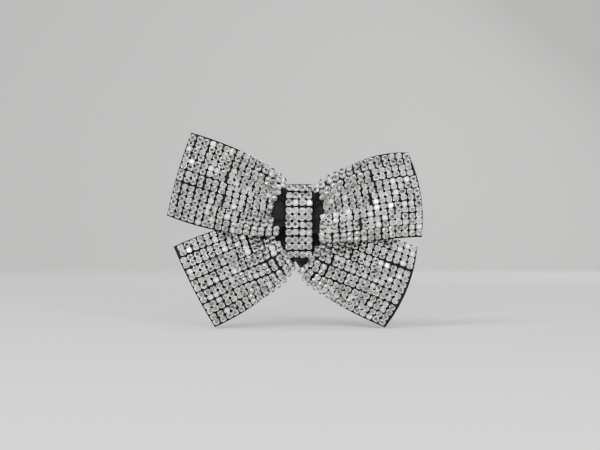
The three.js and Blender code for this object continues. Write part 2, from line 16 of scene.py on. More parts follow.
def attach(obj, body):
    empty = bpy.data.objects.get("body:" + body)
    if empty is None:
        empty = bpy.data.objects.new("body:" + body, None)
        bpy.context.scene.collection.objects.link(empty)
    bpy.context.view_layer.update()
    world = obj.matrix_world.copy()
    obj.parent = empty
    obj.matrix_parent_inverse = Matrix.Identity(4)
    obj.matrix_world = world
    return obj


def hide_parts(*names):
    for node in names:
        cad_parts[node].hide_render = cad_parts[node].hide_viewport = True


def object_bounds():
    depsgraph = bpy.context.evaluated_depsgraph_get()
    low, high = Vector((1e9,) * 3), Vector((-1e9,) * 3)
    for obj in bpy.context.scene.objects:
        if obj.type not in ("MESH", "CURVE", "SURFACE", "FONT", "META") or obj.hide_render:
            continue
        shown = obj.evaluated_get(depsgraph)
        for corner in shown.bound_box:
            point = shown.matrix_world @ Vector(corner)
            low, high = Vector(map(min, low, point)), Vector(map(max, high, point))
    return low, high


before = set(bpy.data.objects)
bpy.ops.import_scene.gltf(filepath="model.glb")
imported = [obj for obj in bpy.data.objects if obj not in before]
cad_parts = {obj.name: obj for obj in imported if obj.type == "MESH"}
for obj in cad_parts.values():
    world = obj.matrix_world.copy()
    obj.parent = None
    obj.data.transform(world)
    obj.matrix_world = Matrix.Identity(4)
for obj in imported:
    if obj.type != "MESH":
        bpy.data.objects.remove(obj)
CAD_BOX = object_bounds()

logging.basicConfig(level=logging.INFO, format="%(message)s")
LOG = logging.getLogger("brooch")
MM = 0.001
BODY = "brooch_body"
MATH = "ShaderNodeMath"
RAMP = "ShaderNodeValToRGB"
Feed = bpy.types.Node | bpy.types.NodeSocket | float | tuple


# ---------------------------------------------------------------- helpers
def linear(code: str) -> tuple[float, float, float, float]:
    """Turn an sRGB hex colour into linear RGBA.

    Args:
        code: six hex digits, with or without a leading hash.

    Returns:
        Linear red, green, blue and an alpha of one.
    """
    digits = code.lstrip("#")
    values = []
    for start in (0, 2, 4):
        share = int(digits[start:start + 2], 16) / 255
        values.append(share / 12.92 if share <= 0.04045 else ((share + 0.055) / 1.055) ** 2.4)
    return (values[0], values[1], values[2], 1.0)


def lerp(a: float, b: float, t: float) -> float:
    """Blend two numbers.

    Args:
        a, b: the numbers.
        t: share of the second, 0 to 1.

    Returns:
        The number between them.
    """
    return a + (b - a) * t


def smoothstep(value: float, low: float, high: float) -> float:
    """Ease from 0 at low to 1 at high.

    Args:
        value: the number to ease.
        low: where the rise starts.
        high: where it ends.

    Returns:
        A share from 0 to 1.
    """
    t = min(1.0, max(0.0, (value - low) / (high - low)))
    return t * t * (3 - 2 * t)


def deselect() -> None:
    """Leave edit mode and clear the selection, so the next operator acts alone."""
    if bpy.context.object and bpy.context.object.mode != "OBJECT":
        bpy.ops.object.mode_set(mode="OBJECT")
    bpy.ops.object.select_all(action="DESELECT")


def pick_faces(obj: bpy.types.Object, test: Callable[[bmesh.types.BMFace], bool]) -> None:
    """Select the faces of an object in edit mode that pass a test.

    Args:
        obj: the object being edited.
        test: called with each face, true where it is to be selected.
    """
    mesh = bmesh.from_edit_mesh(obj.data)
    for element in (*mesh.verts, *mesh.edges, *mesh.faces):
        element.select = False
    for face in mesh.faces:
        if test(face):
            face.select = True
    mesh.select_flush(True)
    bmesh.update_edit_mesh(obj.data)


def settle(obj: bpy.types.Object) -> None:
    """Move an object's place into its mesh, so that the object sits at the origin.

    Args:
        obj: the object.
    """
    deselect()
    obj.select_set(True)
    bpy.context.view_layer.objects.active = obj
    bpy.ops.object.transform_apply(location=True, rotation=True, scale=True)


def apply_modifiers(obj: bpy.types.Object) -> None:
    """Apply every modifier of an object in order.

    Args:
        obj: the object.
    """
    deselect()
    obj.select_set(True)
    bpy.context.view_layer.objects.active = obj
    for modifier in list(obj.modifiers):
        bpy.ops.object.modifier_apply(modifier=modifier.name)


def put(points: list, obj: bpy.types.Object) -> None:
    """Move every vertex of an object to its place, given in millimetres.

    Args:
        points: one place for each vertex, in order.
        obj: the object.
    """
    flat = [value * MM for point in points for value in point]
    obj.data.vertices.foreach_set("co", flat)
    obj.data.update()


def face_out(obj: bpy.types.Object) -> None:
    """Merge doubles and turn all faces of a closed mesh outwards.

    Args:
        obj: the object.
    """
    mesh = bmesh.new()
    mesh.from_mesh(obj.data)
    bmesh.ops.remove_doubles(mesh, verts=mesh.verts, dist=1e-7)
    bmesh.ops.recalc_face_normals(mesh, faces=mesh.faces)
    mesh.to_mesh(obj.data)
    mesh.free()


def join(name: str, pieces: list) -> bpy.types.Object:
    """Join pieces into one.

    Args:
        name: name of the joined piece.
        pieces: the objects to join.

    Returns:
        The joined object.
    """
    deselect()
    for obj in pieces:
        obj.select_set(True)
    bpy.context.view_layer.objects.active = pieces[0]
    if len(pieces) > 1:
        bpy.ops.object.join()
    pieces[0].name = name
    pieces[0].data.name = name
    return pieces[0]


def strand(name: str, points: list, radius: float, finish: bpy.types.Material,
           cyclic: bool = False, sides: int = 2) -> bpy.types.Object:
    """Sweep a round strand through points and make it a mesh.

    Args:
        name: the piece's name.
        points: places in millimetres.
        radius: radius in millimetres.
        finish: its material.
        cyclic: true to close it into a ring.
        sides: roundness of the section.

    Returns:
        The strand as a closed mesh.
    """
    curve = bpy.data.curves.new(name, "CURVE")
    curve.dimensions = "3D"
    curve.bevel_depth = radius * MM
    curve.bevel_resolution = sides
    curve.use_fill_caps = True
    spline = curve.splines.new("POLY")
    spline.points.add(len(points) - 1)
    for node, point in zip(spline.points, points):
        node.co = (*(point * MM), 1.0)
    spline.use_cyclic_u = cyclic
    obj = bpy.data.objects.new(name, curve)
    bpy.context.scene.collection.objects.link(obj)
    deselect()
    obj.select_set(True)
    bpy.context.view_layer.objects.active = obj
    bpy.ops.object.convert(target="MESH")
    obj = bpy.context.object
    obj.data.materials.clear()
    obj.data.materials.append(finish)
    face_out(obj)
    bpy.ops.object.shade_smooth()
    return obj


def declare(obj: bpy.types.Object, node: str, body: str = BODY) -> None:
    """Hide the frame node that a finished piece replaces, and hang the piece on the body it rides on.

    Args:
        obj: the finished piece.
        node: the frame node it replaces.
        body: the body it rides on.
    """
    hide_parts(node)
    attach(obj, body)
    LOG.info("%s: %d faces", obj.name, len(obj.data.polygons))


# ---------------------------------------------------------------- finishes
class Graph:
    """A material's node tree with one way to add a node."""

    def __init__(self, name: str) -> None:
        """Start a tree that ends in a Principled shader."""
        self.material = bpy.data.materials.new(name)
        self.material.use_nodes = True
        self.tree = self.material.node_tree
        self.shader = self.tree.nodes["Principled BSDF"]

    def feed(self, socket: bpy.types.NodeSocket, value: Feed) -> None:
        """Link something to an input, or set the input's value.

        Args:
            socket: the input.
            value: a node, whose first output is meant, an output socket or a constant.
        """
        if isinstance(value, bpy.types.Node):
            value = value.outputs[0]
        if isinstance(value, bpy.types.NodeSocket):
            self.tree.links.new(value, socket)
        else:
            socket.default_value = value

    def add(self, kind: str, settings: dict | None = None, stops: list | None = None,
            **inputs: Feed) -> bpy.types.Node:
        """Add a node with its settings and links.

        Args:
            kind: the node's type name.
            settings: attributes set on the node itself.
            stops: (position, hex colour) pairs, where the node holds a colour ramp.
            inputs: what goes into each input, by its name with underscores for spaces, or by
                its number as i0, i1 and so on.

        Returns:
            The new node.
        """
        node = self.tree.nodes.new(kind)
        for key, value in (settings or {}).items():
            setattr(node, key, value)
        if stops:
            elements = node.color_ramp.elements
            while len(elements) < len(stops):
                elements.new(0.5)
            for element, (position, code) in zip(elements, stops):
                element.position = position
                element.color = linear(code)
        for key, value in inputs.items():
            numbered = key[0] == "i" and key[1:].isdigit()
            self.feed(node.inputs[int(key[1:]) if numbered else key.replace("_", " ")], value)
        return node

    def finish(self, **inputs: Feed) -> bpy.types.Material:
        """Set the Principled shader's inputs.

        Args:
            inputs: what goes into each input, by its name with underscores for spaces.

        Returns:
            The finished material.
        """
        for key, value in inputs.items():
            self.feed(self.shader.inputs[key.replace("_", " ")], value)
        return self.material


@dataclass(frozen=True)
class FoiledCrystal:
    """Clear lead-glass chaton, machine cut and foiled behind."""

    # Flat polished facets give small hard highlights. The glints and reflections of foil and cut
    # glass are painted into the base colour: each facet is painted plainly white, grey or nearly
    # black, and a painted reflection of the pavilion's facets shows as a faint star in the table.
    # Stones differ a little in tint, cream to lilac.
    roughness: float = 0.06
    star_points: int = 8
    ring_turns: float = 26.0
    star_depth: float = 0.34

    def build(self) -> bpy.types.Material:
        """Make the material.

        Returns:
            A glossy material whose painted glints, tint and painted star vary from stone to stone.
        """
        graph = Graph("machine_cut_foiled_lead_glass")
        # The facet attribute carries each corner's painted glint brightness, tint and star phase.
        facet = graph.add("ShaderNodeAttribute", {"attribute_name": "facet"})
        painted_sparkle, tint, phase = graph.add("ShaderNodeSeparateColor", Color=facet).outputs[:3]
        place = graph.add("ShaderNodeUVMap", {"uv_map": "stone"})
        centred = graph.add("ShaderNodeVectorMath", {"operation": "SUBTRACT"}, i0=place,
                            i1=(0.5, 0.5, 0.0))
        split = graph.add("ShaderNodeSeparateXYZ", Vector=centred)
        angle = graph.add(MATH, {"operation": "ARCTAN2"}, i0=split.outputs[1],
                          i1=split.outputs[0])
        away = graph.add("ShaderNodeVectorMath", {"operation": "LENGTH"}, i0=centred)
        # The star and rings below are a painted reflection of the pavilion's facets in the table.
        turns = graph.add(MATH, {"operation": "MULTIPLY"}, i0=angle, i1=float(self.star_points))
        star_turn = graph.add(MATH, {"operation": "MULTIPLY"}, i0=phase, i1=9.0)
        star = graph.add(MATH, {"operation": "SINE"},
                         i0=graph.add(MATH, {"operation": "ADD"}, i0=turns, i1=star_turn))
        twist = graph.add(MATH, {"operation": "MULTIPLY"}, i0=away.outputs["Value"],
                          i1=self.ring_turns)
        ring_turn = graph.add(MATH, {"operation": "MULTIPLY"}, i0=phase, i1=5.0)
        rings = graph.add(MATH, {"operation": "SINE"},
                          i0=graph.add(MATH, {"operation": "ADD"}, i0=twist, i1=ring_turn))
        crossed = graph.add(MATH, {"operation": "MULTIPLY"}, i0=star, i1=rings)
        pattern = graph.add(MATH, {"operation": "MULTIPLY"}, i0=crossed, i1=self.star_depth)
        # Painted light: each facet's painted sparkle plus the painted star, made dark grey to white by
        # the ramp below.
        light = graph.add(MATH, {"operation": "ADD"}, i0=painted_sparkle, i1=pattern)
        bright = graph.add(RAMP, stops=[(0.0, "1c1d20"), (0.28, "6c6e73"), (0.55, "c9cacd"),
                                        (0.8, "ffffff")], Fac=light)
        hue = graph.add(RAMP, stops=[(0.0, "f4efdc"), (0.35, "fbf9ef"), (0.65, "ffffff"),
                                     (0.85, "f5f3f9"), (1.0, "f6eff3")], Fac=tint)
        colour = graph.add("ShaderNodeMix", {"data_type": "RGBA", "blend_type": "MULTIPLY"},
                           i0=1.0, i6=bright, i7=hue)
        return graph.finish(Base_Color=colour.outputs[2], Metallic=0.75,
                            Roughness=self.roughness, Coat_Weight=0.7, Coat_Roughness=0.02,
                            Coat_IOR=1.6)


@dataclass(frozen=True)
class PlatedMetal:
    """Stamped metal under a thin bright plating."""

    # Plating over stamped metal is bright but not a mirror: handling clouds it in soft
    # patches, and fine scuffs break its highlights up. The scuffs are drawn coarser than
    # real ones, which are too fine to show.
    name: str = "stamped_silver_plated_brass"
    light: str = "e6e6e6"
    dark: str = "a9a8a8"
    roughness: float = 0.26
    grain_mm: float = 0.5

    def build(self) -> bpy.types.Material:
        """Make the material.

        Returns:
            A metal with cloudy tarnish and fine handling marks.
        """
        graph = Graph(self.name)
        place = graph.add("ShaderNodeTexCoord").outputs["Object"]
        cloud = graph.add("ShaderNodeTexNoise", Vector=place,
                          Scale=1 / (4 * self.grain_mm * MM), Detail=4.0)
        scuffs = graph.add("ShaderNodeTexNoise", Vector=place,
                           Scale=1 / (0.3 * self.grain_mm * MM), Detail=3.0)
        colour = graph.add(RAMP, stops=[(0.3, self.dark), (0.62, self.light)], Fac=cloud)
        rough = graph.add(MATH, {"operation": "MULTIPLY_ADD"}, i0=cloud, i1=0.18,
                          i2=self.roughness - 0.08)
        bump = graph.add("ShaderNodeBump", Strength=0.15, Distance=0.02 * MM, Height=scuffs)
        return graph.finish(Base_Color=colour, Metallic=1.0, Roughness=rough, Normal=bump)


@dataclass(frozen=True)
class RibbedRibbon:
    """Black polyester ribbon, woven with ribs across its width."""

    # Weaving thick weft under fine warp raises ribs that run across the ribbon, so it looks
    # matt black with a low cool sheen and faint even lines. Real ribs stand about 0.5 mm
    # apart and the warp threads 0.15 mm: both are drawn coarser so that they show.
    rib_mm: float = 0.9
    thread_mm: float = 0.34
    cloud_mm: float = 2.86
    light: str = "16171b"
    dark: str = "050506"

    def build(self) -> bpy.types.Material:
        """Make the material.

        Returns:
            Cloth whose ribs follow the ribbon's own UV map, laid out in millimetres.
        """
        graph = Graph("woven_ribbed_polyester_ribbon")
        flat = graph.add("ShaderNodeUVMap", {"uv_map": "cloth"})
        along, across, _ = graph.add("ShaderNodeSeparateXYZ", Vector=flat).outputs
        rib_turns = graph.add(MATH, {"operation": "MULTIPLY"}, i0=along,
                              i1=2 * math.pi / self.rib_mm)
        thread_turns = graph.add(MATH, {"operation": "MULTIPLY"}, i0=across,
                                 i1=2 * math.pi / self.thread_mm)
        ribs = graph.add(MATH, {"operation": "MULTIPLY"}, i1=0.32,
                         i0=graph.add(MATH, {"operation": "SINE"}, i0=rib_turns))
        threads = graph.add(MATH, {"operation": "MULTIPLY"}, i1=0.14,
                            i0=graph.add(MATH, {"operation": "SINE"}, i0=thread_turns))
        cloud = graph.add("ShaderNodeTexNoise", Vector=flat, Scale=1 / self.cloud_mm, Detail=5.0)
        weave = graph.add(MATH, {"operation": "ADD"}, i0=ribs, i1=threads)
        height = graph.add(MATH, {"operation": "MULTIPLY_ADD"}, i0=cloud, i1=0.5, i2=weave)
        colour = graph.add(RAMP, stops=[(0.0, self.dark), (0.75, self.light)], Fac=height)
        bump = graph.add("ShaderNodeBump", Strength=0.7, Distance=0.14 * MM, Height=height)
        return graph.finish(Base_Color=colour, Roughness=0.6, Specular_IOR_Level=0.22,
                            Sheen_Weight=0.1, Sheen_Roughness=0.4,
                            Sheen_Tint=linear("8a90a8"), Normal=bump)


@dataclass(frozen=True)
class PressedFelt:
    """Black wool felt, pressed from loose fibres."""

    # Pressed fibres have no weave: the face is matt and fuzzy with soft mottling, and it
    # lightens at grazing angles. The fibres are drawn as clumps far thicker than real ones.
    fibre_mm: float = 0.25
    mottle_mm: float = 3.5

    def build(self) -> bpy.types.Material:
        """Make the material.

        Returns:
            Matt felt with fibre bump.
        """
        graph = Graph("pressed_black_wool_felt")
        place = graph.add("ShaderNodeTexCoord").outputs["Object"]
        fibres = graph.add("ShaderNodeTexNoise", Vector=place,
                           Scale=1 / (self.fibre_mm * 2 * MM), Detail=6.0, Distortion=1.2)
        mottle = graph.add("ShaderNodeTexNoise", Vector=place,
                           Scale=1 / (self.mottle_mm * MM), Detail=3.0)
        faded = graph.add(MATH, {"operation": "MULTIPLY"}, i0=mottle, i1=0.4)
        mixed = graph.add(MATH, {"operation": "MULTIPLY_ADD"}, i0=fibres, i1=0.6, i2=faded)
        colour = graph.add(RAMP, stops=[(0.36, "08080a"), (0.52, "17171a"), (0.66, "2e2e33")],
                           Fac=mixed)
        bump = graph.add("ShaderNodeBump", Strength=0.9, Distance=0.3 * MM, Height=fibres)
        return graph.finish(Base_Color=colour, Roughness=0.95, Specular_IOR_Level=0.1,
                            Sheen_Weight=0.25, Sheen_Roughness=0.6,
                            Sheen_Tint=linear("777788"), Normal=bump)


@dataclass(frozen=True)
class TwistedThread:
    """Black polyester sewing thread, twisted from plies."""

    # The plies lie at a slant, so the thread shows fine diagonal light and dark bands and a
    # soft shine. One turn of a real thread is near this length.
    twist_mm: float = 0.35

    def build(self) -> bpy.types.Material:
        """Make the material.

        Returns:
            Dark thread with a slanting twist.
        """
        graph = Graph("twisted_black_polyester_thread")
        place = graph.add("ShaderNodeTexCoord").outputs["Object"]
        plies = graph.add("ShaderNodeTexWave", {"bands_direction": "DIAGONAL"}, Vector=place,
                          Scale=0.3 / (self.twist_mm * MM), Distortion=0.6).outputs["Fac"]
        colour = graph.add(RAMP, stops=[(0.1, "0f0f12"), (0.9, "33343b")], Fac=plies)
        bump = graph.add("ShaderNodeBump", Strength=0.6, Distance=0.05 * MM, Height=plies)
        return graph.finish(Base_Color=colour, Roughness=0.55, Normal=bump)


@dataclass(frozen=True)
class StudioPaper:
    """Pale background paper off a roll."""

    # Uncoated paper is matt and even, with a tooth that is hardly seen. The tooth is drawn
    # far coarser than real fibres.
    light: str = "d9d9d7"
    dark: str = "d4d4d2"
    tooth_mm: float = 2.5

    def build(self) -> bpy.types.Material:
        """Make the material.

        Returns:
            Matt paper with a faint tooth.
        """
        graph = Graph("rolled_matt_paper")
        place = graph.add("ShaderNodeTexCoord").outputs["Object"]
        tooth = graph.add("ShaderNodeTexNoise", Vector=place, Scale=1 / (self.tooth_mm * MM),
                          Detail=3.0)
        colour = graph.add(RAMP, stops=[(0.0, self.dark), (1.0, self.light)], Fac=tooth)
        return graph.finish(Base_Color=colour, Roughness=0.9)


# ---------------------------------------------------------------- ribbon surfaces
STRIPS = 7
PITCH = 4.5
RIBBON = STRIPS * PITCH
RIBBON_T = 0.5
GLUE = 0.22
STRIP_H = 1.7
FOLD_PROUD = 0.25
CELL_HALF = 1.17
CUT_GAP = 0.24
LEAN_LIFT = 1.5
RIDGE_CLOSING = (2.2, -1.6, 0.0, 0.0, 0.0, 1.6, -2.2)
KNOT_MID, KNOT_W, KNOT_TOP, KNOT_H, KNOT_T = 0.7, 2 * PITCH + 1, 16.7, 29.1, 0.8
KNOT_LEFT, KNOT_RIGHT = KNOT_MID - KNOT_W / 2, KNOT_MID + KNOT_W / 2
KNOT_BOTTOM = KNOT_TOP - KNOT_H
KNOT_GAP = 0.5
LOWER = -(1.2 + 0.65 + RIBBON_T / 2)
TAIL_LIFT = 0.7
LOOP_DEPTH = 4.3
LOOP_BACK = LOWER - TAIL_LIFT - RIBBON_T - GLUE - STRIP_H - 0.13
KNOT_BACK = LOWER
KNOT_FRONT = LOOP_BACK - LOOP_DEPTH - 1.6


@dataclass
class LobeSurface:
    """A lobe of the bow: eight crease lines with a flat facet of ribbon between each two.

    Points are millimetres. Edge points are [outward from the knot's side, height].
    """

    name: str
    side: int
    top: list
    across: list
    top_root: tuple
    bottom_root: tuple
    folds: list
    arch: float
    bow: float
    depth: tuple
    starts: list
    ends: list
    reach: list = field(default_factory=lambda: [1.0] * 8)
    cuts: dict = field(default_factory=dict)
    shifts: dict = field(default_factory=dict)
    steps: int = 160
    stiffness: tuple = (0.35, 0.22, 0.12, 0.1, 0.12, 0.22, 0.35)

    def __post_init__(self) -> None:
        """Work out the two edge curves from the upper one and the ribbon's width."""
        root = KNOT_LEFT - KNOT_GAP if self.side > 0 else KNOT_RIGHT + KNOT_GAP
        lower = [(p[0] + a[0] * RIBBON, p[1] + a[1] * RIBBON) for p, a in zip(self.top, self.across)]
        self.upper_edge = [(root - self.side * out, z) for out, z in (*self.top, self.top_root)]
        self.lower_edge = [(root - self.side * out, z) for out, z in (*lower, self.bottom_root)]

    @staticmethod
    def bezier(corners: list, t: float) -> tuple[float, float]:
        """Point of a cubic curve at a share t of its way.

        Args:
            corners: its four control points, each (x, z).
            t: share of the way, 0 to 1.

        Returns:
            The point as (x, z).
        """
        s = 1 - t
        weights = (s ** 3, 3 * s * s * t, 3 * s * t * t, t ** 3)
        return tuple(sum(w * c[i] for w, c in zip(weights, corners)) for i in (0, 1))

    def tilts(self, angle: float) -> list:
        """Tilt of each facet for a fold angle."""
        return [self.arch * (2 * (k + 0.5) / STRIPS - 1) + fold * angle
                for k, fold in enumerate(self.folds)]

    def fold_angle(self, width: float, u: float) -> float:
        """Fold angle that gathers the whole ribbon into a width.

        Args:
            width: the room between the two edges, in millimetres.
            u: share of the way to the knot.

        Returns:
            The angle in radians.
        """
        low, high = 0.0, 1.15 * min(1.0, (1.3 - u) / 0.45)
        for _ in range(24):
            middle = (low + high) / 2
            if sum(PITCH * math.cos(t) for t in self.tilts(middle)) > width:
                low = middle
            else:
                high = middle
        return (low + high) / 2

    def station(self, u: float) -> list:
        """The eight crease points at one share u of the way to the knot.

        Args:
            u: share of the way to the knot, 0 to 1.

        Returns:
            The points from the upper edge to the lower one.
        """
        top, bottom = self.bezier(self.upper_edge, u), self.bezier(self.lower_edge, u)
        dx, dz = bottom[0] - top[0], bottom[1] - top[1]
        width = math.hypot(dx, dz)
        dx, dz = dx / width, dz / width
        tilts = self.tilts(self.fold_angle(width, u))
        spans = [PITCH * math.cos(t) for t in tilts]
        stretch = width / sum(spans)
        outer, middle, inner = self.depth
        y = (1 - u) ** 2 * outer + 2 * (1 - u) * u * (2 * middle - (outer + inner) / 2) + u * u * inner
        reach, points = 0.0, []
        for k in range(STRIPS + 1):
            v = k / STRIPS
            bow = self.bow * 4 * v * (1 - v) * (1 - u) ** 2 * self.side
            points.append(Vector((top[0] + dx * reach + dz * bow, y, top[1] + dz * reach - dx * bow)))
            if k < STRIPS:
                reach += spans[k] * stretch
                y += PITCH * math.sin(tilts[k])
        return points

    @cached_property
    def table(self) -> list:
        """Crease points at even steps, worked out once."""
        return [self.station(i / self.steps) for i in range(self.steps + 1)]

    def crease(self, k: int, u: float) -> Vector:
        """Point of crease k at a share u of its own reach.

        Args:
            k: the crease, 0 at the upper edge.
            u: share of its reach.

        Returns:
            The point in millimetres.
        """
        at = min(max(u * self.reach[k], 0.0), 1.0) * self.steps
        i = min(int(at), self.steps - 1)
        return self.table[i][k].lerp(self.table[i + 1][k], at - i)

    def facet(self, k: int, u: float) -> Matrix:
        """Frame of the banding on facet k at u: across, along, outwards, and its middle.

        Rigid pairs don't follow the steepest pleats fully, so they lean back towards the lobe's
        own plane, and are lifted as far as that needs.

        Args:
            k: the facet, 0 at the upper edge.
            u: share of the way to the knot.

        Returns:
            The frame in millimetres.
        """
        a, b = self.crease(k, u), self.crease(k + 1, u)
        before, after = max(u - 0.01, 0.0), min(u + 0.01, 1.0)
        chord = (self.crease(STRIPS, u) - self.crease(0, u)).normalized()
        along = (self.crease(k, after) + self.crease(k + 1, after)
                 - self.crease(k, before) - self.crease(k + 1, before))
        slope = (b - a).normalized()
        across = slope.lerp(chord, self.stiffness[k]).normalized()
        along = (along - across * along.dot(across)).normalized()
        out = across.cross(along)
        if out.y > 0:
            out.negate()
        along = out.cross(across)
        frame_of = Matrix((across, along, out)).transposed().to_4x4()
        lean = math.sqrt(max(0.0, 1 - across.dot(slope) ** 2))
        aside = self.shifts.get(k, 0.0) * (1 - u) + RIDGE_CLOSING[k] * lean
        frame_of.translation = (a + b) / 2 + out * LEAN_LIFT * lean + across * aside
        return frame_of


def hang_below(loop: LobeSurface, points: list) -> list:
    """Heights of a tail's upper edge, taken from the loop in front of it.

    Args:
        loop: the loop in front.
        points: (outward, drop below the loop's lower edge) pairs.

    Returns:
        Edge points as [outward, height].
    """
    return [(out, loop.lower_edge[i][1] - drop) for i, (out, drop) in enumerate(points)]


LOOP_FOLDS = [-1, 0.86, 0.45, 0, -0.45, -0.86, 1]
TAIL_FOLDS = [0, -0.3, -0.6, -0.45, 0.1, 0.6, 0.95]
TAIL_STIFFNESS = (0.1, 0.1, 0.1, 0.1, 0.1, 0.15, 0.2)
LOOP_DEPTHS = (LOOP_BACK - 0.56 * LOOP_DEPTH, LOOP_BACK - LOOP_DEPTH, LOOP_BACK - 0.63 * LOOP_DEPTH)
TAIL_DEPTHS = (LOWER - TAIL_LIFT, LOWER, LOWER - 1.1)


def lobe_surfaces() -> dict:
    """The four lobes by name.

    Returns:
        Lobe surfaces keyed upper_left, upper_right, lower_left and lower_right.
    """
    upper_left = LobeSurface(
        "upper_left", 1, [(35.1, 35.6), (23.2, 31.9), (7.2, 26.4)],
        [(0.283, -0.971), (0.222, -1.025), (0.317, -0.946)], (0, KNOT_TOP - 0.7), (0, -0.8),
        LOOP_FOLDS, 0.16, 0.5, LOOP_DEPTHS,
        [0.05] * 7, [0.97, 0.96, 0.92, 0.88, 0.88, 0.91, 0.95],
        cuts={2: 18.4, 3: 18.4, 4: 19.0, 5: 26.0}, shifts={2: -0.14, 4: 0.14, 5: 0.14})
    upper_right = LobeSurface(
        "upper_right", -1, [(35.6, 28.1), (25.8, 28.6), (13.8, 25.2)],
        [(0.162, -0.987), (0.19, -1.003), (0.063, -0.99)], (0, KNOT_TOP - 2.7), (0, -3.4),
        LOOP_FOLDS, 0.16, 2.0, LOOP_DEPTHS,
        [0.4, 0.8, 0.3, 0.05, 0.05, 0.05, 0.05], [0.97, 0.95, 0.92, 0.91, 0.94, 0.95, 0.95],
        cuts={1: 16.0, 2: 16.2, 3: 18.6, 5: 24.0})
    lower_left = LobeSurface(
        "lower_left", 1, hang_below(upper_left, [(42.2, 12.6), (32.0, 2.4), (17.2, -5.8)]),
        [(-0.486, -0.949), (-0.444, -0.978), (-0.444, -0.876)], (0, 5), (-3.1, KNOT_BOTTOM - 1.2),
        TAIL_FOLDS, 0.2, 0.6, TAIL_DEPTHS,
        [1.3, 0.5, 0.4, 0.4, 0.4, 0.4, 0.4], [0.62, 0.8, 0.93, 0.96, 0.97, 0.97, 0.98],
        [1, 0.98, 0.96, 0.96, 0.96, 0.98, 1, 1], {0: 24.0, 1: 26.5, 2: 26.5, 4: 31.8},
        {0: -0.2}, stiffness=TAIL_STIFFNESS)
    lower_right = LobeSurface(
        "lower_right", -1, hang_below(upper_right, [(39.7, 4.9), (30.2, 0.8), (15.8, -6.8)]),
        [(-0.381, -0.943), (-0.425, -0.933), (-0.52, -0.819)], (-0.8, 3.5), (-5, KNOT_BOTTOM - 2.5),
        TAIL_FOLDS, 0.2, 2.2, TAIL_DEPTHS,
        [0.5, 0.6, 1.0, 1.1, 1.1, 1.1, 1.1], [0.6, 0.82, 0.93, 0.97, 1.0, 1.02, 1.0],
        [0.97, 0.96, 0.95, 0.93, 0.91, 0.9, 0.93, 1], {2: 23.8, 3: 31.5, 4: 31.5, 5: 10.6},
        {0: -0.45, 1: -0.5, 2: 0.1}, stiffness=TAIL_STIFFNESS)
    return {s.name: s for s in (upper_left, upper_right, lower_left, lower_right)}


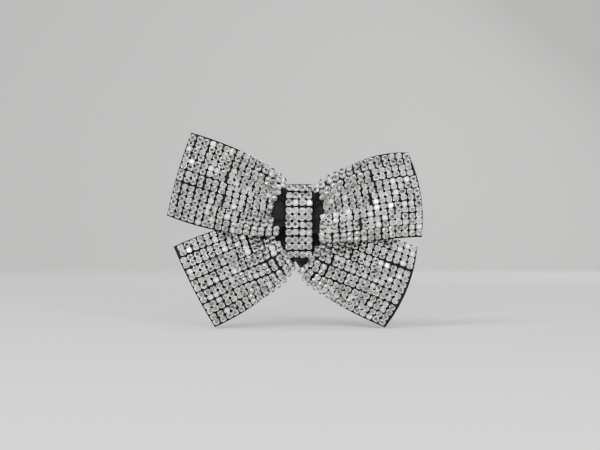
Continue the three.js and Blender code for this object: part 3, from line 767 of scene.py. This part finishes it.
# ---------------------------------------------------------------- crystals
@dataclass
class CrystalCell:
    """A pair of cut stones in joined cups, modelled once, its base at the origin, +Z outwards."""

    finishes: list
    radius: float = 1.12
    cup_radius: float = 1.19
    cup_height: float = 0.98
    cup_square: float = 1.28
    crown: float = 0.66
    spacing: float = 1.125

    def stone(self, x: float) -> bpy.types.Object:
        """Model the cut stone: two bands of turned facets under an eight-sided table.

        Args:
            x: its place along the pair.

        Returns:
            The stone.
        """
        deselect()
        bpy.ops.mesh.primitive_cylinder_add(vertices=8, radius=self.radius, depth=0.24,
                                            end_fill_type="NGON",
                                            location=(0, 0, self.cup_height - 0.06))
        obj = bpy.context.object
        obj.rotation_euler.z = math.pi / 8
        settle(obj)
        bpy.ops.object.mode_set(mode="EDIT")
        for size in (0.84, 0.68):
            pick_faces(obj, lambda f: f.normal.z > 0.99 and f.calc_center_median().z > 0)
            bpy.ops.mesh.extrude_region_move(
                TRANSFORM_OT_translate={"value": (0, 0, self.crown / 2)})
            bpy.ops.transform.resize(value=(size, size, 1), center_override=(0, 0, 0))
            bpy.ops.transform.rotate(value=math.pi / 8, orient_axis="Z",
                                     center_override=(0, 0, 0))
        pick_faces(obj, lambda f: len(f.verts) == 4 and f.normal.z > 0.1)
        bpy.ops.mesh.quads_convert_to_tris(quad_method="SHORTEST_DIAGONAL")
        pick_faces(obj, lambda f: f.normal.z < -0.5)
        bpy.ops.mesh.delete(type="FACE")
        bpy.ops.object.mode_set(mode="OBJECT")
        obj.location.x = x
        settle(obj)
        obj.data.materials.append(self.finishes[0])
        return obj

    def cup(self, x: float) -> bpy.types.Object:
        """Model the cup: a square wall with cut corners and four prongs over the stone.

        Args:
            x: its place along the pair.

        Returns:
            The cup.
        """
        deselect()
        bpy.ops.mesh.primitive_cylinder_add(vertices=8, radius=self.cup_radius,
                                            depth=self.cup_height, end_fill_type="NGON",
                                            location=(0, 0, self.cup_height / 2))
        obj = bpy.context.object
        obj.rotation_euler.z = math.pi / 8
        settle(obj)
        bpy.ops.object.mode_set(mode="EDIT")
        pick_faces(obj, lambda f: abs(f.normal.x) > 0.99)
        bpy.ops.transform.resize(value=(1, self.cup_square, 1), center_override=(0, 0, 0))
        pick_faces(obj, lambda f: abs(f.normal.y) > 0.99)
        bpy.ops.transform.resize(value=(self.cup_square, 1, 1), center_override=(0, 0, 0))
        pick_faces(obj, lambda f: f.normal.z < -0.9)
        bpy.ops.transform.resize(value=(0.72, 0.72, 1), center_override=(0, 0, 0))
        pick_faces(obj, lambda f: f.normal.z > 0.99)
        bpy.ops.mesh.inset(thickness=0.14)
        bpy.ops.mesh.extrude_region_move(TRANSFORM_OT_translate={"value": (0, 0, -0.1)})

        def prong_foot(face: bmesh.types.BMFace) -> bool:
            """Find the four rim faces on the diagonals.

            Args:
                face: a face of the cup.

            Returns:
                True where a prong stands on it.
            """
            middle = face.calc_center_median()
            return (face.normal.z > 0.99 and middle.z > self.cup_height - 0.01
                    and abs(abs(middle.x) - abs(middle.y)) < 0.2)

        pick_faces(obj, prong_foot)
        bpy.ops.mesh.extrude_region_move(TRANSFORM_OT_translate={"value": (0, 0, 0.34)})
        bpy.ops.transform.resize(value=(0.82, 0.82, 1), center_override=(0, 0, 0))
        bpy.ops.object.mode_set(mode="OBJECT")
        obj.location.x = x
        settle(obj)
        obj.data.materials.append(self.finishes[1])
        return obj

    def saddle(self) -> bpy.types.Object:
        """Model the metal that joins the two cups: a bar drawn in at its middle.

        Returns:
            The bar.
        """
        deselect()
        bpy.ops.mesh.primitive_cube_add(size=1, location=(0, 0, 0.3))
        obj = bpy.context.object
        obj.scale = (2.2, 1.1, 0.6)
        settle(obj)
        bpy.ops.object.mode_set(mode="EDIT")
        pick_faces(obj, lambda f: f.normal.z > 0.99)
        bpy.ops.mesh.extrude_region_move(TRANSFORM_OT_translate={"value": (0, 0, 0.16)})
        bpy.ops.transform.resize(value=(0.9, 0.6, 1), center_override=(0, 0, 0))
        bpy.ops.object.mode_set(mode="OBJECT")
        obj.data.materials.append(self.finishes[1])
        return obj

    def build(self) -> bpy.types.Object:
        """Join the cell and lay the top view of each stone into its UV map.

        Returns:
            The cell in millimetres, hidden later when its copies are made.
        """
        cell = join("crystal_cell", [self.stone(-self.spacing), self.stone(self.spacing),
                                     self.cup(-self.spacing), self.cup(self.spacing),
                                     self.saddle()])
        mesh = cell.data
        while mesh.uv_layers:
            mesh.uv_layers.remove(mesh.uv_layers[0])
        layer = mesh.uv_layers.new(name="stone")
        for face in mesh.polygons:
            side = 1 if face.center.x > 0 else -1
            for loop in face.loop_indices:
                place = mesh.vertices[mesh.loops[loop].vertex_index].co
                layer.data[loop].uv = (0.5 + 0.4 * (place.x - side * self.spacing),
                                       0.5 + 0.4 * place.y)
        # The facet attribute holds each corner's painted glint brightness, tint and star phase.
        mesh.attributes.new("facet", "FLOAT_COLOR", "CORNER")
        return cell


@dataclass
class CrystalBanding:
    """Two-row crystal banding: rigid pairs of set stones at an even pitch along a strip."""

    finishes: list
    cell_pitch: float = 2.65
    lengthen: float = 1.09
    # Share of tables painted bright as glints.
    glinting: float = 0.12
    base_lift: float = RIBBON_T / 2 + 0.03
    seed: int = 7

    def __post_init__(self) -> None:
        """Model the cell once and seed the small irregularities."""
        self.cell = CrystalCell(self.finishes).build()
        self.chance = random.Random(self.seed)
        spacing, girdle = CrystalCell.spacing, CrystalCell.cup_height + 0.07
        self.crowns = [(v.index, v.co.x > 0, v.co.x - math.copysign(spacing, v.co.x), v.co.y)
                       for v in self.cell.data.vertices
                       if v.co.z > girdle and self.is_stone(v.index)]
        self.kinds = [(face.loop_total, face.center.x > 0, face.material_index == 0,
                       face.normal.z > 0.99) for face in self.cell.data.polygons]

    def is_stone(self, vertex: int) -> bool:
        """True where a vertex of the cell belongs to a stone and not to its metal."""
        return vertex in self.stone_vertices

    @cached_property
    def stone_vertices(self) -> set:
        """Vertices of the cell's two stones."""
        return {v for face in self.cell.data.polygons if face.material_index == 0
                for v in face.vertices}

    def wobble(self) -> Matrix:
        """The slight unevenness of one hand-glued cell.

        Returns:
            A small shift and turn in the cell's own frame.
        """
        chance = self.chance
        return (Matrix.Translation((chance.gauss(0, 0.03), chance.gauss(0, 0.05), self.base_lift))
                @ Matrix.Rotation(chance.gauss(0, 0.03), 4, "Z")
                @ Matrix.Rotation(chance.gauss(0, 0.07), 4, "X")
                @ Matrix.Rotation(chance.gauss(0, 0.06), 4, "Y"))

    def facets(self) -> list:
        """Choose painted glint brightness, tint and pattern phase for every corner of one cell.

        Returns:
            Four numbers a corner, as the colour attribute takes them.
        """
        chance = self.chance
        # Per stone: a small painted brightness offset, its tint and its star phase.
        stones = [(chance.gauss(0, 0.06), chance.random(), chance.random()) for _ in range(2)]
        # Painted glints: a few tables are painted bright, the rest mid grey.
        painted_table_light = [0.8 if chance.random() < self.glinting else 0.2 for _ in range(2)]
        values = []
        for corners, right, stone, table in self.kinds:
            painted_sparkle, tint, phase = stones[right]
            # Crown facets are painted white, grey or nearly black at random, as painted reflections.
            level = painted_table_light[right] if table else chance.choice((0.15, 0.5, 0.75, 0.95, 1.0))
            values.extend((min(1.0, max(0.0, level + painted_sparkle)), tint, phase, 1.0) * corners)
        return values

    def seat_stones(self, mesh: bpy.types.Mesh) -> None:
        """Tip each stone of a cell by its own small angle, so that no two glint alike.

        Args:
            mesh: the cell's copy.
        """
        tips = [(self.chance.gauss(0, 0.07), self.chance.gauss(0, 0.07)) for _ in range(2)]
        for number, right, x, y in self.crowns:
            lean_x, lean_y = tips[right]
            mesh.vertices[number].co.z += lean_x * x + lean_y * y

    def build(self, name: str, places: list) -> bpy.types.Object:
        """Copy the cell to every place and join the copies.

        Args:
            name: the piece's name.
            places: cell frames in millimetres.

        Returns:
            The strip's object.
        """
        copies = []
        for place in places:
            copy = bpy.data.objects.new(name, self.cell.data.copy())
            bpy.context.scene.collection.objects.link(copy)
            self.seat_stones(copy.data)
            copy.data.transform(Matrix.Scale(MM, 4) @ place @ self.wobble()
                                @ Matrix.Diagonal((1, self.lengthen, 1, 1)))
            # Painted glint brightness, tint and phase for this copy's facets.
            copy.data.attributes["facet"].data.foreach_set("color", self.facets())
            copies.append(copy)
        return join(name, copies)

    @staticmethod
    def open_cut(cut: float | None, place: float, length: float) -> float:
        """Shift of a cell that opens a thin gap where two lengths of banding meet.

        Args:
            cut: place of the cut along the strip, or None where it is one length.
            place: the cell's place along the strip.
            length: the strip's length.

        Returns:
            The shift in millimetres, largest beside the cut.
        """
        if cut is None:
            return 0.0
        if place < cut:
            return -CUT_GAP * place / cut
        return CUT_GAP * (1 - (place - cut) / max(length - cut, 1e-6))

    def along_facet(self, lobe: LobeSurface, k: int) -> list:
        """Cell frames along one facet of a lobe, at an even pitch from its outer end.

        Args:
            lobe: the lobe.
            k: the facet, 0 at the upper edge.

        Returns:
            Cell frames in millimetres.
        """
        samples = 240
        middles = [(lobe.crease(k, u) + lobe.crease(k + 1, u)) / 2
                   for u in (lobe.ends[k] * i / samples for i in range(samples + 1))]
        runs = [0.0]
        for here, there in zip(middles, middles[1:]):
            runs.append(runs[-1] + (there - here).length)
        free = runs[-1] - lobe.starts[k] - 2 * CELL_HALF
        count = max(1, round(free / self.cell_pitch))
        frames = []
        for number in range(count + 1):
            wanted = lobe.starts[k] + CELL_HALF + free * number / count
            wanted += self.open_cut(lobe.cuts.get(k), wanted, runs[-1])
            i = next(i for i, run in enumerate(runs) if run >= wanted - 1e-6)
            frames.append(lobe.facet(k, lobe.ends[k] * i / samples))
        return frames


# ---------------------------------------------------------------- cloth
@dataclass
class WovenSheet:
    """A woven sheet: a grid laid onto rows of points of its middle plane, then thickened."""

    name: str
    rows: list
    finish: bpy.types.Material
    thickness: float = RIBBON_T

    def build(self) -> bpy.types.Object:
        """Make the sheet with its thickness and its UV map in millimetres.

        Returns:
            The finished object.
        """
        long, wide = len(self.rows) - 1, len(self.rows[0]) - 1
        deselect()
        bpy.ops.mesh.primitive_grid_add(x_subdivisions=long, y_subdivisions=wide, size=1)
        obj = bpy.context.object
        obj.name = self.name
        mesh = obj.data
        mesh.name = self.name
        steps = [(round((v.co.x + 0.5) * long), round((v.co.y + 0.5) * wide)) for v in mesh.vertices]
        put([self.rows[i][j] for i, j in steps], obj)
        lengths = [0.0]
        for here, there in zip(self.rows, self.rows[1:]):
            lengths.append(lengths[-1] + (there[wide // 2] - here[wide // 2]).length)
        across = []
        for row in self.rows:
            across.append([0.0])
            for a, b in zip(row, row[1:]):
                across[-1].append(across[-1][-1] + (b - a).length)
        layer = mesh.uv_layers[0]
        layer.name = "cloth"
        for loop in mesh.loops:
            i, j = steps[loop.vertex_index]
            layer.data[loop.index].uv = (lengths[i], across[i][j])
        mesh.materials.append(self.finish)
        bpy.ops.object.mode_set(mode="EDIT")
        bpy.ops.mesh.select_all(action="SELECT")
        bpy.ops.mesh.remove_doubles(threshold=1e-6)
        bpy.ops.mesh.normals_make_consistent(inside=False)
        bpy.ops.object.mode_set(mode="OBJECT")
        solid = obj.modifiers.new("thickness", "SOLIDIFY")
        solid.thickness = self.thickness * MM
        solid.offset = 0
        solid.use_quality_normals = True
        apply_modifiers(obj)
        bpy.ops.object.shade_smooth_by_angle(angle=math.radians(50))
        return obj


@dataclass
class BowRibbons:
    """The four lobes' ribbons: two folded loops above, two tails below."""

    lobes: dict
    finish: bpy.types.Material
    margin: float = 0.5
    stations: int = 44
    gather: float = 0.3
    tuck: float = 1.7

    def row(self, lobe: LobeSurface, u: float) -> list:
        """One row of points across the ribbon, with soft creases and gathers by the knot.

        Args:
            lobe: the lobe.
            u: share of the way to the knot; past 1 the ribbon is tucked into it.

        Returns:
            Points in millimetres.
        """
        lines = [lobe.crease(k, min(u, 1.0)) for k in range(STRIPS + 1)]
        points = [lines[0] + (lines[0] - lines[1]).normalized() * self.margin, lines[0].copy()]
        for a, b in zip(lines, lines[1:]):
            points.extend(a.lerp(b, share) for share in (0.1, 0.36, 0.64, 0.9))
        points.append(lines[-1].copy())
        points.append(lines[-1] + (lines[-1] - lines[-2]).normalized() * self.margin)
        pinch = self.gather * smoothstep(u, 0.9, 1.0)
        beyond = max(0.0, u - 1.0)
        middle = Vector((0, (KNOT_FRONT + KNOT_BACK) / 2, KNOT_TOP - KNOT_H / 2))
        for j, point in enumerate(points):
            point.y += pinch * math.sin(2.1 * j)
            point.x += lobe.side * beyond * self.tuck
            point.y = lerp(point.y, middle.y, 0.3 * beyond)
            point.z = lerp(point.z, middle.z, 0.16 * beyond)
        return points

    def front(self, lobe: LobeSurface) -> list:
        """Rows from the outer end to the knot and tucked into it.

        Args:
            lobe: the lobe.

        Returns:
            Rows of points.
        """
        rows = [self.row(lobe, i / self.stations) for i in range(self.stations + 1)]
        return [*rows, self.row(lobe, 1.5), self.row(lobe, 2.0)]

    def tail(self, lobe: LobeSurface) -> bpy.types.Object:
        """A single layer of ribbon.

        Args:
            lobe: the lobe.

        Returns:
            The finished ribbon.
        """
        return WovenSheet(f"cloth_{lobe.name}", self.front(lobe), self.finish).build()

    def loop(self, lobe: LobeSurface) -> bpy.types.Object:
        """Front layer, round fold at the outer end, plain narrower layer behind.

        Args:
            lobe: the lobe.

        Returns:
            The finished ribbon.
        """
        front = self.front(lobe)[::-1]
        fold = []
        for turn in (0.08, 0.2, 0.35, 0.5, 0.65, 0.8, 0.92):
            ring = []
            for point in front[-1]:
                radius = (LOOP_BACK - point.y) / 2
                ring.append(Vector((
                    point.x - lobe.side * radius * FOLD_PROUD * math.sin(math.pi * turn),
                    point.y + radius * (1 - math.cos(math.pi * turn)),
                    point.z)))
            fold.append(ring)
        back = []
        for i in range(self.stations // 2 + 1):
            u = 2 * i / self.stations
            line = self.row(lobe, u)
            narrow = 0.36 * smoothstep(u, 0.05, 0.6)
            ring = [p.lerp(line[0], narrow) for p in line]
            for p in ring:
                p.y = LOOP_BACK
            back.append(ring)
        return WovenSheet(f"cloth_{lobe.name}", [*front, *fold, *back], self.finish).build()

    def build(self) -> None:
        for name, lobe in self.lobes.items():
            looped = name.startswith("upper")
            obj = self.loop(lobe) if looped else self.tail(lobe)
            declare(obj, f"ribbon_{name}")


# ---------------------------------------------------------------- knot
@dataclass
class Knot:
    """The banded knot: a ribbon ring with two strips of banding, gathers inside it."""

    cloth: bpy.types.Material
    thread: bpy.types.Material
    banding: CrystalBanding
    path: tuple = ((1, 0.51), (0.934, 0.742), (0.736, 0.926), (0.385, 1), (0.088, 0.94),
                   (0, 0.795), (0, 0.512), (0, 0.194), (0.077, 0.064), (0.42, 0),
                   (0.83, 0.035), (0.965, 0.23))
    starts: tuple = (-0.168, -0.168)
    end: float = 0.215
    pitch: float = 2.7

    def edges(self, place: Vector) -> tuple[float, float]:
        """Left and right edge of the band at a place: it narrows towards the bottom.

        The back narrows early, to clear the tails; the front keeps its width nearly to the end.

        Args:
            place: a place on the band, in millimetres.

        Returns:
            The two edges' x.
        """
        front = smoothstep(KNOT_BACK - place.y, 2.5, 6.0)
        above = place.z - KNOT_BOTTOM
        taper = lerp(smoothstep(8.9 - above, 0, 8.5), smoothstep(3.6 - above, 0, 2.6), front)
        return KNOT_LEFT + 3.1 * taper, KNOT_RIGHT - 0.7 * taper

    @cached_property
    def ring(self) -> list:
        """Even steps round the band, from the front's middle up and over.

        Returns:
            Points as (y, z) in millimetres, on a smooth curve through the path.
        """
        low, height = KNOT_BOTTOM + KNOT_T / 2, KNOT_H - KNOT_T
        knots = [Vector((KNOT_BACK + (KNOT_FRONT - KNOT_BACK) * d, low + height * r))
                 for d, r in self.path]
        dense = []
        count = len(knots)
        for i in range(count):
            p0, p1, p2, p3 = (knots[(i + j) % count] for j in (-1, 0, 1, 2))
            for step in range(24):
                t = step / 24
                dense.append(0.5 * ((2 * p1) + (p2 - p0) * t + (2 * p0 - 5 * p1 + 4 * p2 - p3) * t * t
                                    + (3 * p1 - p0 - 3 * p2 + p3) * t ** 3))
        return dense

    def at(self, index: int) -> tuple[Vector, Vector, Vector]:
        """Place, along and outward directions at a step round the ring.

        Args:
            index: the step, counted round and round.

        Returns:
            The three vectors.
        """
        count = len(self.ring)
        here = self.ring[index % count]
        along = self.ring[(index + 1) % count] - self.ring[(index - 1) % count]
        along.normalize()
        out = Vector((-along.y, along.x))
        centre = Vector(((KNOT_FRONT + KNOT_BACK) / 2, KNOT_TOP - KNOT_H / 2))
        if out.dot(here - centre) < 0:
            out.negate()
        return (Vector((0, here.x, here.y)), Vector((0, along.x, along.y)), Vector((0, out.x, out.y)))

    def band(self) -> bpy.types.Object:
        """The ribbon ring, slightly crowned across its width.

        Returns:
            The finished band.
        """
        rows = []
        for index in range(0, len(self.ring) + 1, 3):
            place, _, out = self.at(index)
            left, right = self.edges(place)
            row = []
            for j in range(11):
                share = j / 10
                crown = 0.12 * (1 - (2 * share - 1) ** 4) - 0.12
                point = place + out * crown
                point.x = lerp(left, right, share)
                row.append(point)
            rows.append(row)
        return WovenSheet("cloth_knot_band", rows, self.cloth, thickness=KNOT_T).build()

    def strip(self, column: int) -> list:
        """Cell frames of one of the two banding strips, centred on the front.

        Args:
            column: 0 for the left strip, 1 for the right.

        Returns:
            Cell frames in millimetres.
        """
        frames = []
        count = len(self.ring)
        run, wanted = 0.0, self.pitch / 2
        before = self.at(int(count * min(self.starts)))[0]
        across = Vector((1, 0, 0))
        for index in range(int(count * min(self.starts)), int(count * self.end)):
            place, _, out = self.at(index)
            run += (place - before).length
            before = place.copy()
            if run < wanted:
                continue
            wanted += self.pitch
            if index < count * self.starts[column]:
                continue
            left, right = self.edges(place)
            half = (right - left) / 2
            place.x = left + half * (column + 0.5)
            cell = Matrix((across, out.cross(across), out)).transposed().to_4x4()
            cell.translation = place + out * (KNOT_T / 2 - RIBBON_T / 2)
            lean = 0.12 * smoothstep(5.0 - half, 0.0, 1.5)
            squeeze = max(0.86, (half + 0.02) / 4.5)
            frames.append(cell @ Matrix.Rotation(lean, 4, "Z")
                          @ Matrix.Diagonal((squeeze, 1.04, 1, 1)))
        return frames

    def inner_ring(self, depth: float, height: float, step: int) -> list:
        """The band's path drawn in towards its middle.

        Args:
            depth: share kept of the front-to-back size.
            height: share kept of the height.
            step: how many steps of the path to skip.

        Returns:
            Points in millimetres at the knot's middle plane.
        """
        y, z = (KNOT_FRONT + KNOT_BACK) / 2, KNOT_TOP - KNOT_H / 2
        return [Vector((KNOT_MID, y + (p.x - y) * depth, z + (p.y - z) * height))
                for p in self.ring[::step]]

    def core(self) -> bpy.types.Object:
        """The gathered cloth inside: an upright bundle with soft pleats.

        Returns:
            The finished bundle.
        """
        side = KNOT_W / 2 - 1.75
        ring = self.inner_ring(0.68, 0.85, 3)
        middle = Vector((0, (KNOT_FRONT + KNOT_BACK) / 2, KNOT_TOP - KNOT_H / 2))
        rows = []
        for number in range(len(ring) + 1):
            place = ring[number % len(ring)]
            pleat = 1 + 0.04 * math.sin(number * math.pi * 0.75)
            row = []
            for j in range(13):
                share = 2 * j / 12 - 1
                size = pleat * math.sqrt(1 - (0.5 * abs(share)) ** 2)
                shrink = 0.02 if j in (0, 12) else 1.0
                row.append(Vector((KNOT_MID + side * share,
                                   middle.y + (place.y - middle.y) * size * shrink,
                                   middle.z + (place.z - middle.z) * size * shrink)))
            rows.append(row)
        return WovenSheet("gathered_waist", rows, self.cloth, thickness=0.3).build()

    def winding(self) -> bpy.types.Object:
        """Turns of thread side by side round the gathered cloth.

        Returns:
            The thread as one strand.
        """
        ring = self.inner_ring(0.78, 0.91, 2)
        turns, width = 9, 3.0
        points = []
        for turn in range(turns):
            for i, place in enumerate(ring):
                share = (turn + i / len(ring)) / turns
                points.append(Vector((KNOT_MID + width * (share - 0.5), place.y, place.z)))
        return strand("wound_thread", points, 0.19, self.thread)

    def build(self) -> None:
        band = self.band()
        declare(band, "knot_band")
        for column, side in enumerate(("left", "right")):
            obj = self.banding.build(f"banding_knot_{side}", self.strip(column))
            declare(obj, f"crystals_knot_{side}")
        declare(self.core(), "waist_core")
        declare(self.winding(), "waist_thread")


# ---------------------------------------------------------------- back
@dataclass
class Back:
    """Felt pad, stitches and the bar pin finding."""

    felt: bpy.types.Material
    thread: bpy.types.Material
    metal: bpy.types.Material
    half: float = 22.5
    bands: tuple = (-9.0, 12.0)
    thickness: float = 1.2
    bar_height: float = 6.0
    bar_width: float = 5.0
    bar_rear: float = 1.0
    stitch_spacing: float = 3.1

    def rim(self) -> list:
        """Walk round the pad's outline at even steps.

        Returns:
            Points in millimetres.
        """
        middle, reach = sum(self.bands) / 2, (self.bands[1] - self.bands[0]) / 2

        def half_height(x: float) -> float:
            """Half the pad's height at a place along it."""
            return reach * (0.25 + 0.75 * math.sqrt(max(0.0, 1 - abs(x / self.half) ** 6)))

        xs = [self.half * math.sin(math.pi * (i / 120 - 0.5)) for i in range(121)]
        outline = [Vector((x, 0, middle + half_height(x))) for x in xs]
        outline += [Vector((x, 0, middle - half_height(x))) for x in reversed(xs)]
        runs = [0.0]
        for here, there in zip(outline, outline[1:] + outline[:1]):
            runs.append(runs[-1] + (there - here).length)
        count = round(runs[-1] / self.stitch_spacing)
        points = []
        for number in range(count):
            wanted = runs[-1] * (number + 0.5) / count
            i = max(n for n, run in enumerate(runs[:-1]) if run <= wanted)
            share = (wanted - runs[i]) / max(runs[i + 1] - runs[i], 1e-9)
            points.append(outline[i].lerp(outline[(i + 1) % len(outline)], share))
        return points

    def whip_stitches(self) -> bpy.types.Object:
        """Slanting stitches over the pad's edge, made once and copied round the rim.

        Returns:
            All the stitches as one piece.
        """
        path = [Vector((-0.35, -1.0, 0.12)), Vector((-0.3, -0.5, 0.2)), Vector((-0.15, -0.1, 0.12)),
                Vector((0.1, 0.04, -0.35)), Vector((0.4, 0.05, -0.95)), Vector((0.55, -0.12, -1.25))]
        stitch = strand("whip_stitch", path, 0.13, self.thread)
        copies = []
        middle = Vector((0, 0, sum(self.bands) / 2))
        for point in self.rim():
            out = point - middle
            out.x = out.x if abs(out.x) > self.half - 4.0 else 0.0
            out.normalize()
            side = out.cross(Vector((0, 1, 0)))
            place = Matrix((side, Vector((0, 1, 0)), out)).transposed().to_4x4()
            place.translation = point * MM
            copy = bpy.data.objects.new("whip_stitch_copy", stitch.data.copy())
            copy.data.transform(place)
            bpy.context.scene.collection.objects.link(copy)
            copies.append(copy)
        bpy.data.objects.remove(stitch)
        piece = join("felt_whip_stitches", copies)
        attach(piece, BODY)
        return piece

    def pad(self) -> bpy.types.Object:
        """The felt pad: a rounded sheet with soft edges and a slightly uneven face.

        Returns:
            The finished pad.
        """
        deselect()
        bpy.ops.mesh.primitive_grid_add(x_subdivisions=60, y_subdivisions=28, size=1)
        obj = bpy.context.object
        obj.name = "felt_backing"
        chance = random.Random(3)
        middle = sum(self.bands) / 2
        reach = (self.bands[1] - self.bands[0]) / 2
        points = []
        for vertex in obj.data.vertices:
            t = 2 * vertex.co.x
            x = self.half * math.sin(math.pi / 2 * t)
            squeeze = 0.25 + 0.75 * math.sqrt(max(0.0, 1 - abs(x / self.half) ** 6))
            points.append(Vector((x, -0.6, middle + 2 * vertex.co.y * reach * squeeze)))
        put(points, obj)
        solid = obj.modifiers.new("thickness", "SOLIDIFY")
        solid.thickness = (self.thickness - 0.05) * MM
        solid.offset = 0
        soft = obj.modifiers.new("soft_edge", "BEVEL")
        soft.width = 0.3 * MM
        soft.segments = 3
        soft.angle_limit = math.radians(60)
        apply_modifiers(obj)
        for vertex in obj.data.vertices:
            vertex.co.y += chance.uniform(-0.02, 0.02) * MM
        obj.data.materials.append(self.felt)
        bpy.ops.object.shade_smooth_by_angle(angle=math.radians(60))
        return obj

    def loop_stitch(self, x: float) -> list:
        """The path of one stitch that holds the bar: up through its hole and over its edge.

        Args:
            x: the stitch's place along the bar.

        Returns:
            Points in millimetres.
        """
        edge = self.bar_height + self.bar_width / 2
        side = [(0.1, self.bar_height), (0.9, self.bar_height + 0.02), (1.35, self.bar_height + 0.25),
                (1.5, self.bar_height + 0.9), (1.5, edge - 0.35), (1.3, edge + 0.35),
                (0.8, edge + 0.56), (0.1, edge + 0.56)]
        return [Vector((x, y, z)) for y, z in side]

    def bar_stitch(self, number: int, x: float) -> bpy.types.Object:
        """Three strands of thread lying side by side in one stitch.

        Args:
            number: the stitch's number.
            x: its place along the bar.

        Returns:
            The finished stitch.
        """
        strands = []
        for i, (dx, dy) in enumerate(((-0.17, 0.0), (0.17, 0.0), (0.0, 0.12))):
            path = [p + Vector((dx, dy * min(1.0, p.y), 0)) for p in self.loop_stitch(x)]
            strands.append(strand(f"strand_{i}", path, 0.13, self.thread))
        return join(f"bar_thread_{number}", strands)

    def build(self) -> None:
        """Make the soft pieces and give the metal nodes their finish."""
        pad = self.pad()
        declare(pad, "felt_pad")
        LOG.info("whip stitches: %d faces", len(self.whip_stitches().data.polygons))
        for number, share in enumerate((-0.32, -0.11, 0.11, 0.26), start=1):
            declare(self.bar_stitch(number, share * 36), f"bar_stitch_{number}")
        for node in ("pin_bar", "hinge_rivet", "pin_stem", "catch_housing", "catch_roller"):
            self.dress(node, self.metal)

    @staticmethod
    def dress(node: str, finish: bpy.types.Material) -> None:
        """Give a frame node a finish in its own slots.

        Args:
            node: the node's name.
            finish: its material.
        """
        obj = bpy.data.objects[node]
        for number in range(len(obj.material_slots)):
            obj.material_slots[number].material = finish


# ---------------------------------------------------------------- studio
class SoftLight(Enum):
    """Where a soft light stands: place and size in metres, and power in watts."""

    KEY = ((-0.5, -0.9, 0.75), 0.5, 10.0)
    FRONT = ((0.25, -1.7, 0.5), 1.3, 14.0)
    TOP = ((0.1, 0.0, 0.9), 0.6, 5.0)
    BACK = ((0.35, 0.85, 0.45), 0.5, 6.0)
    SIDE = ((-0.9, 0.3, 0.15), 0.35, 2.5)
    GLINT_LEFT = ((-0.16, -0.95, 0.22), 0.08, 1.3)
    GLINT_RIGHT = ((0.3, -0.9, 0.1), 0.08, 1.2)


@dataclass
class Studio:
    """Pale floor that sweeps up behind, soft lights and the camera."""

    view_width: float = 0.2274
    centre: tuple = (0.0011, -0.008, 0.0011)
    lens: float = 126.0
    floor_width: float = 24.0
    sweep_start: float = 0.55
    sweep_radius: float = 0.5

    def floor(self) -> None:
        """A wide sheet of pale paper, level under the brooch and curving up behind it."""
        low = CAD_BOX[0][2] - 0.0004
        deselect()
        bpy.ops.mesh.primitive_plane_add(size=1, location=(0, 0, low))
        obj = bpy.context.object
        obj.name = "studio_sweep"
        obj.scale = (self.floor_width, self.floor_width, 1)
        settle(obj)
        bpy.ops.object.mode_set(mode="EDIT")
        mesh = bmesh.from_edit_mesh(obj.data)
        depth = self.sweep_start + self.sweep_radius
        for vertex in mesh.verts:
            vertex.co.y = depth if vertex.co.y > 0 else -12.0
            vertex.select = vertex.co.y > 0
        for edge in mesh.edges:
            edge.select = all(v.co.y > 0 for v in edge.verts)
        mesh.select_flush(True)
        bmesh.update_edit_mesh(obj.data)
        bpy.ops.mesh.extrude_edges_move(TRANSFORM_OT_translate={"value": (0, 0, 3.0)})
        mesh = bmesh.from_edit_mesh(obj.data)
        for element in (*mesh.verts, *mesh.edges, *mesh.faces):
            element.select = False
        for edge in mesh.edges:
            edge.select = all(abs(v.co.y - depth) < 1e-4 and abs(v.co.z - low) < 1e-4
                              for v in edge.verts)
        bmesh.update_edit_mesh(obj.data)
        bpy.ops.mesh.bevel(offset=self.sweep_radius, segments=24, profile=0.5)
        bpy.ops.object.mode_set(mode="OBJECT")
        bpy.ops.object.shade_smooth()
        obj.data.materials.append(StudioPaper().build())

    def lights(self) -> None:
        """Soft area lights and an even surround."""
        for kind in SoftLight:
            place, size, power = kind.value
            data = bpy.data.lights.new(kind.name.lower(), "AREA")
            data.shape = "DISK"
            data.size = size
            data.energy = power
            lamp = bpy.data.objects.new(kind.name.lower(), data)
            lamp.location = place
            aim = Vector(self.centre) - Vector(place)
            lamp.rotation_euler = aim.to_track_quat("-Z", "Y").to_euler()
            bpy.context.scene.collection.objects.link(lamp)
        world = bpy.data.worlds.new("surround")
        world.use_nodes = True
        background = world.node_tree.nodes["Background"]
        background.inputs["Color"].default_value = linear("e4e4e3")
        background.inputs["Strength"].default_value = 0.6
        bpy.context.scene.world = world

    def camera(self) -> None:
        """A level camera square to the front."""
        data = bpy.data.cameras.new("camera")
        data.lens = self.lens
        data.sensor_width = 36.0
        data.clip_start = 0.01
        distance = self.view_width * self.lens / data.sensor_width
        obj = bpy.data.objects.new("camera", data)
        obj.location = (self.centre[0], self.centre[1] - distance, self.centre[2])
        obj.rotation_euler = (math.pi / 2, 0, 0)
        bpy.context.scene.collection.objects.link(obj)
        bpy.context.scene.camera = obj

    def build(self) -> None:
        """Set the whole studio up."""
        self.camera()
        self.floor()
        self.lights()


def main() -> None:
    """Build every piece in order."""
    Studio().build()
    crystal, silver = FoiledCrystal().build(), PlatedMetal().build()
    cloth, thread, felt = RibbedRibbon().build(), TwistedThread().build(), PressedFelt().build()
    nickel = PlatedMetal("stamped_nickel_plated_steel", "c9c6c0", "8f8c87", 0.24, 1.2).build()
    lobes = lobe_surfaces()
    BowRibbons(lobes, cloth).build()
    banding = CrystalBanding([crystal, silver])
    for name, lobe in lobes.items():
        for k in range(STRIPS):
            obj = banding.build(f"banding_{name}_{k + 1}", banding.along_facet(lobe, k))
            declare(obj, f"crystals_{name}_{k + 1}")
    Knot(cloth, thread, banding).build()
    Back(felt, thread, nickel).build()
    bpy.data.objects.remove(banding.cell)


if __name__ == "__main__":
    main()
